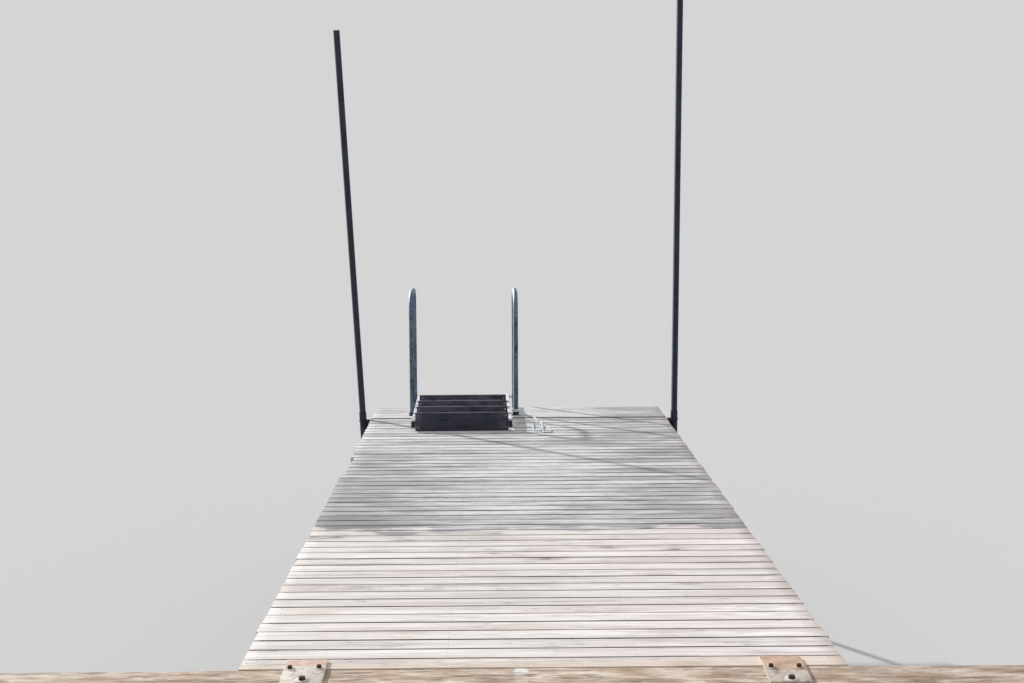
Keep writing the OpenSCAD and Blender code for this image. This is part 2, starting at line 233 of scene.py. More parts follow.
def frames(line: np.ndarray) -> tuple[np.ndarray, np.ndarray]:
    """Two directions square to a line at each of its points, with no twist from one to the next.

    Args:
        line: the line's points, one a row.

    Returns:
        The two directions at each point.
    """
    tangents = np.gradient(line, axis=0)
    tangents /= np.linalg.norm(tangents, axis=1, keepdims=True)
    start = np.array([0.0, 0.0, 1.0]) if abs(tangents[0][2]) < 0.9 else np.array([1.0, 0.0, 0.0])
    first = np.cross(start, tangents[0])
    first /= np.linalg.norm(first)
    sides = [first]
    for tangent in tangents[1:]:
        side = sides[-1] - tangent * np.dot(sides[-1], tangent)
        sides.append(side / np.linalg.norm(side))
    across = np.array(sides)
    return across, np.cross(tangents, across)


def rings_round(line: np.ndarray, radius: float, sides: int) -> np.ndarray:
    """Rings of points round a line, as an array of rings, sides and coordinates."""
    across, up = frames(line)
    turn = around(sides)[None, :, None]
    circle = np.cos(turn) * across[:, None, :] + np.sin(turn) * up[:, None, :]
    return line[:, None, :] + radius * circle


def skin(rings: np.ndarray, inwards: bool = False) -> list[tuple[int, ...]]:
    """The side faces between rings of points, which face outwards unless inwards is true."""
    count, sides = rings.shape[0], rings.shape[1]
    faces = []
    for ring in range(count - 1):
        for k in range(sides):
            low, high = ring * sides, (ring + 1) * sides
            after = (k + 1) % sides
            face = (low + k, low + after, high + after, high + k)
            faces.append(face[::-1] if inwards else face)
    return faces


def capped(rings: np.ndarray) -> Shape:
    """The solid between rings of points, closed at both ends."""
    count, sides = rings.shape[0], rings.shape[1]
    last = (count - 1) * sides
    ends = [tuple(range(sides - 1, -1, -1)), tuple(range(last, last + sides))]
    return Shape(rings.reshape(-1, 3), skin(rings) + ends)


def swept_rod(line: np.ndarray, radius: float, sides: int) -> Shape:
    """A solid rod along a line."""
    return capped(rings_round(line, radius, sides))


def swept_tube(line: np.ndarray, radius: float, wall: float, sides: int) -> Shape:
    """A hollow tube along a line, with its wall closed at both ends."""
    outer = rings_round(line, radius, sides)
    inner = rings_round(line, radius - wall, sides)
    count = outer.shape[0] * sides
    faces = skin(outer) + [tuple(count + c for c in face) for face in skin(inner, inwards=True)]
    last = (len(line) - 1) * sides
    for k in range(sides):
        after = (k + 1) % sides
        faces.append((k, count + k, count + after, after))
        faces.append((last + after, count + last + after, count + last + k, last + k))
    return Shape(np.vstack([outer.reshape(-1, 3), inner.reshape(-1, 3)]), faces)


def twisted_line(line: np.ndarray, diameter: float, turn: float) -> Shape:
    """A laid rope of three strands along a line.

    Args:
        line: its points, a few millimetres apart.
        diameter: the rope's own diameter.
        turn: the length in which a strand goes once round.

    Returns:
        The three strands, each closed.
    """
    strand = 0.26 * diameter
    offset = diameter / 2.0 - strand
    across, up = frames(line)
    steps = np.concatenate([[0.0], np.cumsum(np.linalg.norm(np.diff(line, axis=0), axis=1))])
    rope = Shape(np.zeros((0, 3)), [])
    for k in range(3):
        angle = (steps / turn + k / 3.0) * 2.0 * math.pi
        centre = line + offset * (np.cos(angle)[:, None] * across + np.sin(angle)[:, None] * up)
        rope = rope + swept_rod(centre, strand, 7)
    return rope


def round_section(width: float, height: float, radius: float, inner: int) -> np.ndarray:
    """The outline of a squared timber with worn corners.

    Args:
        width, height: its size.
        radius: the radius of its corners.
        inner: how many points each side has between its corners and the points that back them.

    Returns:
        The outline's points, anticlockwise, one a row.
    """
    arcs = []
    for right, high, start in ((1, -1, -90.0), (1, 1, 0.0), (-1, 1, 90.0), (-1, -1, 180.0)):
        middle = np.array([right * (width / 2.0 - radius), high * (height / 2.0 - radius)])
        angles = np.radians(start + np.array([0.0, 30.0, 60.0, 90.0]))
        arcs.append(middle + radius * np.stack([np.cos(angles), np.sin(angles)], axis=1))
    outline = []
    for k, arc in enumerate(arcs):
        goal = arcs[(k + 1) % 4][0]
        run = np.linalg.norm(goal - arc[-1])
        back = min(0.4, radius / run)
        shares = np.concatenate([[back], np.linspace(back, 1.0 - back, inner + 2)[1:-1], [1.0 - back]])
        outline += [*arc, *(arc[-1] + share * (goal - arc[-1]) for share in shares)]
    return np.array(outline)


@dataclass(frozen=True)
class Bar:
    """A squared bar along x with worn edges, centred across, with its top at z = 0.

    radius is that of its worn edges, stations is how many rows of points it has along its length, and inner
    how many points each side has between those at its corners.
    """

    length: float
    width: float
    height: float
    radius: float
    stations: int = 33
    inner: int = 3

    def mesh(self, name: str) -> bpy.types.Mesh:
        """The closed mesh, with the attributes that timber finishes read.

        Its point attribute grain holds its own place. Its face attributes are end, which is 1 where it is
        sawn across, edge, which grows from 0 on its flat top to 1 on its sides, and top, which is 1 on its
        flat top.
        """
        chamfer = min(self.radius / 2.0, 0.0015)
        outline = round_section(self.width, self.height, self.radius, self.inner)
        shrink = np.array([1.0 - 2.0 * chamfer / self.width, 1.0 - 2.0 * chamfer / self.height])
        half = self.length / 2.0
        places = np.linspace(chamfer - half, half - chamfer, self.stations)
        rows = [(-half, outline * shrink), *((x, outline) for x in places), (half, outline * shrink)]
        rings = np.array([[(x, y, z - self.height / 2.0) for y, z in row] for x, row in rows])
        mesh = capped(rings).mesh(name, 50.0)
        grain = mesh.attributes.new("grain", "FLOAT_VECTOR", "POINT")
        grain.data.foreach_set("vector", rings.astype(np.float32).ravel())
        normals = np.array([face.normal for face in mesh.polygons], dtype=np.float32)
        shares = {
            "end": np.abs(normals[:, 0]) > 0.9, "edge": np.abs(normals[:, 1]),
            "top": np.clip((normals[:, 2] - 0.5) / 0.4, 0.0, 1.0),
        }
        for label, values in shares.items():
            mesh.attributes.new(label, "FLOAT", "FACE").data.foreach_set("value", values.astype(np.float32))
        return mesh


# Node trees


@dataclass(frozen=True)
class Wire:
    """A number that a node gives, which is reckoned with like any other by adding Math nodes."""

    graph: Graph
    socket: bpy.types.NodeSocket

    def __add__(self, other: Value) -> Wire:
        """This and another number together."""
        return self.graph.math("ADD", self, other)

    def __radd__(self, other: Value) -> Wire:
        """A plain number and this together."""
        return self.graph.math("ADD", other, self)

    def __sub__(self, other: Value) -> Wire:
        """This less another number."""
        return self.graph.math("SUBTRACT", self, other)

    def __rsub__(self, other: Value) -> Wire:
        """A plain number less this."""
        return self.graph.math("SUBTRACT", other, self)

    def __mul__(self, other: Value) -> Wire:
        """This times another number."""
        return self.graph.math("MULTIPLY", self, other)

    def __rmul__(self, other: Value) -> Wire:
        """A plain number times this."""
        return self.graph.math("MULTIPLY", other, self)

    def __truediv__(self, other: Value) -> Wire:
        """This over another number."""
        return self.graph.math("DIVIDE", self, other)

    def __abs__(self) -> Wire:
        """This without its sign."""
        return self.graph.math("ABSOLUTE", self)


@dataclass(frozen=True)
class Graph:
    """Adds nodes to a tree and links them, so that a finish or a run of parts reads as a list of steps."""

    tree: bpy.types.NodeTree

    def feed(self, socket: bpy.types.NodeSocket, value: Value) -> None:
        """Links a socket to value where it is another node's output, and sets it to value otherwise."""
        if isinstance(value, Wire):
            value = value.socket
        if isinstance(value, bpy.types.NodeSocket):
            self.tree.links.new(value, socket)
        elif socket.type == "RGBA" and len(value) == 3:
            socket.default_value = (*value, 1.0)
        else:
            socket.default_value = value

    def add(self, kind: str, inputs: Inputs | None = None, **settings: Value) -> bpy.types.Node:
        """One new node.

        Args:
            kind: its Blender type.
            inputs: what goes into its sockets, by name or number.
            settings: its own properties.

        Returns:
            The node.
        """
        node = self.tree.nodes.new(kind)
        for name, value in settings.items():
            setattr(node, name, value)
        for key, value in (inputs or {}).items():
            self.feed(node.inputs[key], value)
        return node

    def wire(self, kind: str, inputs: Inputs | None = None, output: str | int = 0, **settings: Value) -> Wire:
        """One output of a new node, by its name or number, with the rest as in add."""
        return Wire(self, self.add(kind, inputs, **settings).outputs[output])

    def math(self, operation: str, *values: Value) -> Wire:
        """The result of one Math node on the values."""
        return self.wire("ShaderNodeMath", dict(enumerate(values)), operation=operation)

    def vector(self, operation: str, *values: Value) -> Wire:
        """The vector that one Vector Math node makes of the values."""
        return self.wire("ShaderNodeVectorMath", dict(enumerate(values)), "Vector", operation=operation)

    def scaled(self, place: Value, share: Value) -> Wire:
        """A vector times a number."""
        return self.wire("ShaderNodeVectorMath", {0: place, "Scale": share}, "Vector", operation="SCALE")

    def length(self, place: Value) -> Wire:
        """The length of a vector."""
        return self.wire("ShaderNodeVectorMath", {0: place}, "Value", operation="LENGTH")

    def parts(self, place: Value) -> tuple[Wire, ...]:
        """The x, y and z of a vector."""
        return tuple(Wire(self, part) for part in self.add("ShaderNodeSeparateXYZ", {0: place}).outputs)

    def joined(self, x: Value, y: Value, z: Value) -> Wire:
        """A vector of three numbers."""
        return self.wire("ShaderNodeCombineXYZ", {0: x, 1: y, 2: z})

    def noise(
        self,
        place: Value,
        scales: Place | None = None,
        detail: float = 2.0,
        roughness: float = 0.5,
        colour: bool = False,
    ) -> Wire:
        """Noise from 0 to 1.

        Args:
            place: where it is read.
            scales: how many features it has to a metre each way, or nothing for one a unit of place.
            detail, roughness: how much finer noise is laid over it.
            colour: whether it is three noises in one.

        Returns:
            The noise.
        """
        at = place if scales is None else self.vector("MULTIPLY", place, scales)
        sizes = {"Vector": at, "Scale": 1.0, "Detail": detail, "Roughness": roughness}
        return self.wire("ShaderNodeTexNoise", sizes, "Color" if colour else 0)

    def band(self, value: Value, low: float, high: float, start: float = 0.0, end: float = 1.0) -> Wire:
        """A smooth step from start, where value is low, to end, where it is high."""
        inputs = {"Value": value, "From Min": low, "From Max": high, "To Min": start, "To Max": end}
        return self.wire("ShaderNodeMapRange", inputs, "Result", interpolation_type="SMOOTHSTEP")

    def mix(self, share: Value, first: Value, second: Value, blend: str = "MIX") -> Wire:
        """One colour turning into another by a share from 0 to 1."""
        inputs = {0: share, 6: first, 7: second}
        return self.wire("ShaderNodeMix", inputs, 2, data_type="RGBA", blend_type=blend)

    def dim(self, colour: Value, level: Value) -> Wire:
        """A colour times a number."""
        return self.vector("MULTIPLY", colour, self.joined(level, level, level))


@dataclass
class Finish:
    """A new material with its graph, its shader and the places that patterns read."""

    name: str
    graph: Graph = field(init=False)
    material: bpy.types.Material = field(init=False)
    shader: bpy.types.Node = field(init=False)

    def __post_init__(self) -> None:
        """Makes the material with nothing but a Principled shader."""
        self.material = bpy.data.materials.new(self.name)
        self.material.use_nodes = True
        self.material.node_tree.nodes.clear()
        self.graph = Graph(self.material.node_tree)
        self.shader = self.graph.add("ShaderNodeBsdfPrincipled")
        self.graph.add("ShaderNodeOutputMaterial", {"Surface": self.shader.outputs[0]})

    def place(self) -> Wire:
        """Object coordinates, in metres."""
        return self.graph.wire("ShaderNodeTexCoord", output="Object")

    def attribute(self, name: str, output: str = "Fac") -> Wire:
        """An attribute of the mesh, by its name and the output Fac, Vector or Color."""
        return self.graph.wire("ShaderNodeAttribute", output=output, attribute_name=name)

    def surface(self, colour: Value, roughness: Value, height: Value, strength: float, depth: float) -> None:
        """Joins colour, roughness and relief to the shader.

        Args:
            colour, roughness: what the shader takes.
            height: the relief, from 0 to 1.
            strength: how much of the relief shows.
            depth: the relief's depth in metres.
        """
        bump = self.graph.wire("ShaderNodeBump", {"Strength": strength, "Distance": depth, "Height": height})
        for label, value in (("Base Color", colour), ("Roughness", roughness), ("Normal", bump)):
            self.graph.feed(self.shader.inputs[label], value)


# Finishes


@dataclass(frozen=True)
class WeatheredTimber:
    """Softwood that has greyed outdoors, with fibres, year rings, checks, knots, stains and painted shade in
    its gaps.

    grime darkens the faces that stand upright in a gap, as painted shade. worn is the flat top's colour, if
    it has one, partly wear and partly a painted sunlit top. shortness makes the broad streaks that many times
    shorter.
    """

    name: str
    pale: Colour
    dark: Colour
    knot: Colour
    sawn: Colour
    worn: Colour | None = None
    streaks: float = 0.5
    rings: float = 0.12
    checks: float = 0.5
    knots: float = 0.14
    stains: float = 0.2
    relief: float = 0.5
    grime: float = 0.0
    boards: float = 0.1
    ring_pitch: float = 0.007
    shortness: float = 1.0

    def tinted(self, finish: Finish, colour: Value, streak: Value) -> Value:
        """The colour after whatever else lies on this timber, which is nothing by default."""
        return colour

    def sheltered(self, finish: Finish) -> Value:
        """Where the upright faces get painted shade, from 0 to 1, which is everywhere by default."""
        return 1.0

    def make(self) -> bpy.types.Material:
        """The material."""
        finish = Finish(self.name)
        graph = finish.graph
        place = finish.place()
        grain = finish.attribute("grain", "Vector")
        tint = finish.attribute("tint")
        end = finish.attribute("end")
        edge = finish.attribute("edge")
        cell = graph.vector("MULTIPLY", grain, (3.4, 9.0, 9.0))
        knots = graph.add("ShaderNodeTexVoronoi", {"Vector": cell, "Scale": 1.0, "Randomness": 0.9})
        chosen = graph.math("LESS_THAN", graph.parts(knots.outputs["Color"])[0], self.knots)
        core = graph.band(knots.outputs["Distance"], 0.14, 0.06) * chosen
        halo = graph.band(knots.outputs["Distance"], 0.42, 0.1) * chosen
        wander = graph.noise(grain, (1.1, 3.0, 3.0), 2.0)
        bend = wander * 0.05 + halo * 0.012
        swirled = graph.vector("ADD", grain, graph.joined(0.0, bend, bend))
        broad = graph.noise(swirled, (1.3 * self.shortness, 34.0, 34.0), 5.0, 0.62)
        fibre = graph.noise(swirled, (7.0, 420.0, 420.0), 3.0, 0.6)
        y, z = graph.parts(swirled)[1:]
        pith = z + 0.07
        reach = graph.math("SQRT", y * y + pith * pith)
        swell = graph.noise(grain, (0.9, 2.0, 2.0), 1.0) * 0.12
        year = (reach + swell) * (2.0 * math.pi / self.ring_pitch)
        late = graph.band(graph.math("SINE", year), 0.1, 1.0)
        split = graph.noise(swirled, (3.0, 120.0, 60.0), 1.5, 0.4)
        thin = graph.band(abs(split - 0.5), 0.0, 0.02, 1.0, 0.0)
        where = graph.band(graph.noise(grain, (2.0, 14.0, 14.0), 1.0), 0.5, 0.62)
        check = thin * where
        dirt = graph.band(graph.noise(place, (1.7, 1.7, 1.7), 4.0, 0.6), 0.5, 0.72)

        share = graph.band(broad, 0.5 - 0.5 * self.streaks, 0.5 + 0.5 * self.streaks)
        colour = graph.mix(share, self.dark, self.pale)
        # worn: a lighter flat top, partly wear and partly a painted sunlit top
        if self.worn is not None:
            top = finish.attribute("top") * graph.band(broad, 0.3, 0.6, 0.5, 1.0)
            colour = graph.mix(top, colour, self.worn)
        colour = self.tinted(finish, colour, share)
        colour = graph.dim(colour, graph.band(fibre, 0.25, 0.75, 0.9, 1.03))
        colour = graph.dim(colour, 1.0 - late * self.rings)
        colour = graph.dim(colour, graph.band(tint, 0.0, 1.0, 1.0 - self.boards, 1.02))
        colour = graph.dim(colour, 1.0 - dirt * self.stains)
        colour = graph.mix(halo * 0.35, colour, self.knot)
        colour = graph.mix(core, colour, self.knot)
        colour = graph.mix(end * 0.8, colour, self.sawn)
        # Painted shade: the faces that stand upright in the gaps between boards are darkened where shade
        # falls
        upright = graph.band(edge, 0.25, 0.85) * self.sheltered(finish)
        gap_shade_share = upright * (1.0 - end)
        colour = graph.dim(colour, 1.0 - gap_shade_share * self.grime)
        open_check = check * self.checks
        colour = graph.mix(open_check, colour, darker(self.dark, 0.25))

        height = fibre * 0.5 + broad - check
        roughness = graph.band(fibre, 0.2, 0.8, 0.95, 0.72)
        finish.surface(colour, roughness, height, self.relief, 0.002)
        finish.shader.inputs["Specular IOR Level"].default_value = 0.25
        return finish.material


@dataclass(frozen=True)
class DeckTimber(WeatheredTimber):
    """The deck boards' timber: bleached near the shore, and grey with dark streaks from one board onwards.

    The first board's near edge and some of the boards' ends are still the colour of newer wood, and the edges
    beside the bar between the poles are darker.
    """

    grey: Colour = (0.6, 0.6, 0.6)
    dull_grey: Colour = (0.45, 0.45, 0.45)
    streak_grey: Colour = (0.35, 0.35, 0.35)
    fresh: Colour = (0.8, 0.6, 0.45)
    stained: Colour = (0.15, 0.1, 0.09)
    warm: Colour = (1.0, 0.965, 0.94)
    pink: Colour = (1.0, 0.955, 0.955)
    grey_from: float = DECK_START + 1.897 * math.cos(SLOPE)
    bar_at: float = DECK_START + GAP_MIDDLE * math.cos(SLOPE)

    def seams(self, graph: Graph, x: Value, y: Value) -> tuple[Value, Value]:
        """The gaps between boards.

        Args:
            graph: the material's graph.
            x, y: the place.

        Returns:
            How far off the nearest gap's middle the place is, in board pitches, and how dark the strips
            beside that gap are.
        """
        scale = 1.0 / (BOARD_PITCH * math.cos(SLOPE))
        count = (y - (DECK_START - 0.53 / scale)) * scale
        past = graph.math("GREATER_THAN", y, self.bar_at) * 9.0
        off = abs(graph.math("FRACT", count) - 0.5) + past
        number = graph.math("FLOOR", count) * 7.3
        return off, graph.noise(graph.joined(x * 1.2, number, 0.0), detail=3.0, roughness=0.6)

    def weathered(self, graph: Graph, place: Value, off: Value, gap_darkening: Value) -> Value:
        """The greyed part's colour: dull patches, thin dark lines along the grain and darker strips beside
        the gaps.

        Args:
            graph: the material's graph.
            place: Object coordinates.
            off, gap_darkening: what seams gives.

        Returns:
            The colour.
        """
        x, y = graph.parts(place)[:2]
        after = graph.band(y, self.grey_from, self.grey_from + 0.8, 0.06, 0.0)
        left = graph.band(x, -0.1, -0.8, 0.0, 0.14) * graph.band(y, 3.4, 3.9, 1.0, 0.1)
        aside = left + graph.band(x, 0.3, 0.8, 0.0, 0.12)
        cloud = graph.noise(place, (1.3, 6.0, 6.0), 4.0, 0.65)
        patch = graph.band(cloud - (after + aside), 0.3, 0.56)
        colour = graph.mix(patch, self.dull_grey, self.grey)
        line = graph.noise(place, (4.0, 150.0, 150.0), 4.0, 0.65)
        colour = graph.mix(graph.band(line, 0.5, 0.34, 0.0, 0.62), colour, self.streak_grey)
        spots = graph.noise(place, (20.0, 75.0, 75.0), 5.0, 0.7)
        colour = graph.dim(colour, graph.band(spots, 0.34, 0.6, 0.84, 1.05))
        first = graph.band(y, self.grey_from + 0.42, self.grey_from + 0.26)
        darker = first * graph.band(x, -0.3, -0.75, 0.1, 0.24)
        colour = graph.dim(colour, 1.0 - darker)
        beside = graph.band(off, 0.19, 0.03) * graph.band(gap_darkening, 0.41, 0.6, 0.05, 1.0)
        return graph.mix(beside, colour, self.streak_grey)

    def tinted(self, finish: Finish, colour: Value, streak: Value) -> Value:
        """Adds broad patches of colour, darker strips beside the gaps, the greying, the newer wood and the
        darker edges beside the bar.
        """
        graph = finish.graph
        place = finish.place()
        x, y = graph.parts(place)[:2]
        off, gap_darkening = self.seams(graph, x, y)
        own = graph.math("FRACT", finish.attribute("tint") * 13.7)
        cloud = graph.noise(place, (0.9, 1.4, 1.4), 2.0, 0.5)
        wander = cloud * 1.6 + own * 0.4
        lean = x + wander - 1.0
        cast = graph.mix(graph.band(lean, -0.5, 0.6), self.warm, self.pink)
        colour = graph.mix(1.0, colour, cast, "MULTIPLY")
        mottle = graph.noise(place, (9.0, 70.0, 70.0), 5.0, 0.7)
        colour = graph.dim(colour, graph.band(mottle, 0.3, 0.5, 0.87, 1.0))
        beside = graph.band(off, 0.075, 0.03) * graph.band(gap_darkening, 0.33, 0.6, 0.2, 0.9)
        colour = graph.mix(beside, colour, self.stained)
        edge = graph.noise(place, (2.2, 6.0, 6.0), 3.0, 0.6)
        past = y + (edge - 0.5) * 0.9
        greyed = graph.band(past, self.grey_from - 0.05, self.grey_from + 0.04, 0.0, 0.94)
        colour = graph.mix(greyed, colour, self.weathered(graph, place, off, gap_darkening))
        reach = graph.band(x, 0.1, 0.8, 0.05, 0.11)
        near = y - (streak - 0.5) * 0.03
        first = graph.band(near - reach, DECK_START + 0.012, DECK_START - 0.02)
        new = graph.band(x, 0.9, 1.0, 0.0, 0.6) * graph.band(mottle, 0.45, 0.62)
        share = graph.math("MAXIMUM", first * 0.7, new)
        colour = graph.mix(share, colour, self.fresh)
        aside = abs(y - self.bar_at)
        return graph.mix(graph.band(aside, 0.026, 0.014, 0.0, 0.8), colour, self.stained)

    def sheltered(self, finish: Finish) -> Value:
        """Keeps the painted shade off the first board's front and the boards' ends."""
        graph = finish.graph
        x, y = graph.parts(finish.place())[:2]
        inside = graph.band(abs(x), 0.985, 0.97)
        return inside * graph.band(y, DECK_START + 0.03, DECK_START + 0.06)


@dataclass(frozen=True)
class BeamTimber(WeatheredTimber):
    """The shore beam's timber, which also has a splash of white paint on its top and darker ends."""

    splash: Place = (-0.075, 0.084, NEAR_TOP)
    splash_width: float = 0.023

    def tinted(self, finish: Finish, colour: Value, streak: Value) -> Value:
        """Adds warm patches, the darker ends, and the splash with the pale run below it."""
        graph = finish.graph
        place = finish.place()
        warm = graph.band(graph.noise(place, (5.0, 14.0, 14.0), 4.0, 0.65), 0.42, 0.64)
        colour = graph.mix(warm * 0.5, colour, paint(186, 152, 122))
        mottle = graph.noise(place, (20.0, 80.0, 80.0), 6.0, 0.75)
        colour = graph.dim(colour, graph.band(mottle, 0.36, 0.62, 0.83, 1.1))
        x, y = graph.parts(place)[:2]
        left = graph.band(x, -0.35, -1.2, 1.0, 0.965)
        right = graph.band(x, 0.2, 1.3, 1.0, 0.86)
        colour = graph.dim(colour, left * right)
        ragged = graph.noise(place, (90.0, 90.0, 90.0), 3.0, 0.7)
        rough = (ragged - 0.5) * 0.022
        across = abs(x - self.splash[0]) + rough
        below = graph.band(y, self.splash[1], self.splash[1] - 0.01, 0.0, 0.35)
        run = graph.band(across, self.splash_width, self.splash_width - 0.008) * below
        colour = graph.mix(run, colour, paint(240, 230, 220))
        off = graph.vector("MULTIPLY", graph.vector("SUBTRACT", place, self.splash), (1.0, 0.8, 1.0))
        edge = graph.length(off) + rough
        inside = graph.band(edge, self.splash_width + 0.003, self.splash_width - 0.004)
        return graph.mix(inside, colour, paint(246, 244, 240))


@dataclass(frozen=True)
class TreadTimber(WeatheredTimber):
    """Dark wood of the treads, darker still as painted shade.

    It is paler in patches at their ends and on the three nearer the water.
    """

    rubbed: Colour = (0.1, 0.1, 0.1)
    rubbed_from: float = 4.79
    middle: float = LADDER_X

    def tinted(self, finish: Finish, colour: Value, streak: Value) -> Value:
        """The colour with its paler patches."""
        graph = finish.graph
        place = finish.place()
        patch = graph.noise(place, (8.0, 5.0, 16.0), 4.0, 0.6)
        x, y = graph.parts(place)[:2]
        end = graph.band(abs(x - self.middle), 0.23, 0.27, 0.25, 0.85)
        part = graph.math("MAXIMUM", end, graph.band(y, self.rubbed_from, self.rubbed_from + 0.04))
        share = part * graph.band(patch, 0.38, 0.6, 0.2, 0.95)
        return graph.mix(share, colour, self.rubbed)


@dataclass(frozen=True)
class LogTimber:
    """A round pile: grey and cracked above, dark and wet towards its foot."""

    name: str
    pale: Colour
    dark: Colour
    wet: Colour

    def make(self) -> bpy.types.Material:
        """The material."""
        finish = Finish(self.name)
        graph = finish.graph
        place = finish.place()
        along = graph.vector("MULTIPLY", place, (60.0, 60.0, 2.2))
        broad = graph.noise(along, detail=5.0, roughness=0.6)
        fibre = graph.noise(place, (320.0, 320.0, 9.0), 3.0, 0.6)
        split = graph.noise(place, (75.0, 75.0, 3.0), 1.0)
        check = graph.band(abs(split - 0.5), 0.0, 0.02, 1.0, 0.0)
        height = graph.parts(place)[2]
        line = height + graph.noise(place, (9.0, 9.0, 3.0), 3.0) * 0.3
        colour = graph.mix(graph.band(broad, 0.3, 0.7), self.dark, self.pale)
        colour = graph.mix(graph.band(line, 0.95, 0.5), colour, self.wet)
        colour = graph.dim(colour, graph.band(fibre, 0.25, 0.75, 0.82, 1.1))
        colour = graph.mix(check * 0.6, colour, darker(self.dark, 0.2))
        relief = broad + fibre * 0.4 - check
        finish.surface(colour, graph.band(line, 0.5, 1.0, 0.55, 0.9), relief, 0.6, 0.003)
        return finish.material


@dataclass(frozen=True)
class WornSteel:
    """Bare, galvanised or blackened steel with spangle, streaks, scratches and rust.

    patch is the colour of a stained part, which fades in along y between the two places of patch_span and
    nearer by patch_lean for each metre across. bleached is the paler colour of the side that faces
    the key lamp, a painted sunlit side.
    """

    name: str
    pale: Colour
    dark: Colour
    rust: Colour
    metallic: float = 0.6
    roughness: tuple[float, float] = (0.35, 0.6)
    spots: float = 0.15
    spangle: float = 0.25
    patch: Colour | None = None
    patch_span: tuple[float, float] = (0.0, 1.0)
    patch_lean: float = 0.0
    bleached: Colour | None = None
    relief: float = 0.15

    def make(self) -> bpy.types.Material:
        """The material."""
        finish = Finish(self.name)
        graph = finish.graph
        place = finish.place()
        cells = graph.add("ShaderNodeTexVoronoi", {"Vector": place, "Scale": 95.0})
        grey = graph.parts(cells.outputs["Color"])[0]
        cloud = graph.noise(place, (14.0, 14.0, 9.0), 5.0, 0.65)
        fine = graph.noise(place, (420.0, 420.0, 420.0), 2.0)
        shade = grey * self.spangle + cloud
        colour = graph.mix(graph.band(shade, 0.3, 0.9), self.dark, self.pale)
        speck = graph.noise(place, (36.0, 36.0, 36.0), 6.0, 0.7)
        rusty = graph.band(speck, 0.72 - 0.3 * self.spots, 0.8 - 0.3 * self.spots)
        if self.patch is not None:
            x, y = graph.parts(place)[:2]
            leant = y + x * self.patch_lean
            line = leant + speck * 0.02
            stained = graph.mix(graph.band(cloud, 0.35, 0.65), darker(self.patch, 0.62), self.patch)
            colour = graph.mix(graph.band(line, *self.patch_span), colour, stained)
        deep = graph.mix(graph.band(cloud, 0.35, 0.7), darker(self.rust, 0.55), self.rust)
        colour = graph.mix(rusty, colour, deep)
        # Painted sunlit side: the faces towards the key lamp get a paler colour that stands in for its light
        if self.bleached is not None:
            sunlit_share = graph.band(finish.attribute("sun"), 0.12, 0.4)
            share = sunlit_share * graph.band(shade, 0.2, 0.6, 0.75, 1.0)
            colour = graph.mix(share, colour, self.bleached)
        colour = graph.dim(colour, graph.band(fine, 0.2, 0.8, 0.93, 1.05))
        low, high = self.roughness
        dull = graph.math("MAXIMUM", graph.band(shade, 0.3, 0.9, high, low), rusty * 0.9)
        shine = (1.0 - rusty) * self.metallic
        finish.surface(colour, dull, fine * 0.4 + speck, self.relief, 0.001)
        graph.feed(finish.shader.inputs["Metallic"], shine)
        return finish.material


@dataclass(frozen=True)
class MouldedPlastic:
    """Black rubber or plastic, dusty in patches."""

    name: str
    colour: Colour
    dust: Colour

    def make(self) -> bpy.types.Material:
        """The material."""
        finish = Finish(self.name)
        graph = finish.graph
        place = finish.place()
        cloud = graph.noise(place, (45.0, 45.0, 45.0), 5.0, 0.65)
        grit = graph.noise(place, (900.0, 900.0, 900.0), 2.0)
        colour = graph.mix(graph.band(cloud, 0.45, 0.8, 0.0, 0.5), self.colour, self.dust)
        finish.surface(colour, graph.band(cloud, 0.3, 0.7, 0.5, 0.75), grit, 0.2, 0.0006)
        return finish.material


@dataclass(frozen=True)
class LaidRope:
    """Pale rope with fine yarns along its strands."""

    name: str
    pale: Colour
    dark: Colour

    def make(self) -> bpy.types.Material:
        """The material."""
        finish = Finish(self.name)
        graph = finish.graph
        place = finish.place()
        yarn = graph.noise(place, (1500.0, 1500.0, 1500.0), 2.0)
        cloud = graph.noise(place, (30.0, 30.0, 30.0), 4.0, 0.6)
        colour = graph.mix(graph.band(cloud, 0.35, 0.7), self.dark, self.pale)
        colour = graph.dim(colour, graph.band(yarn, 0.2, 0.8, 0.82, 1.06))
        finish.surface(colour, 0.8, yarn, 0.5, 0.0006)
        finish.shader.inputs["Sheen Weight"].default_value = 0.2
        return finish.material


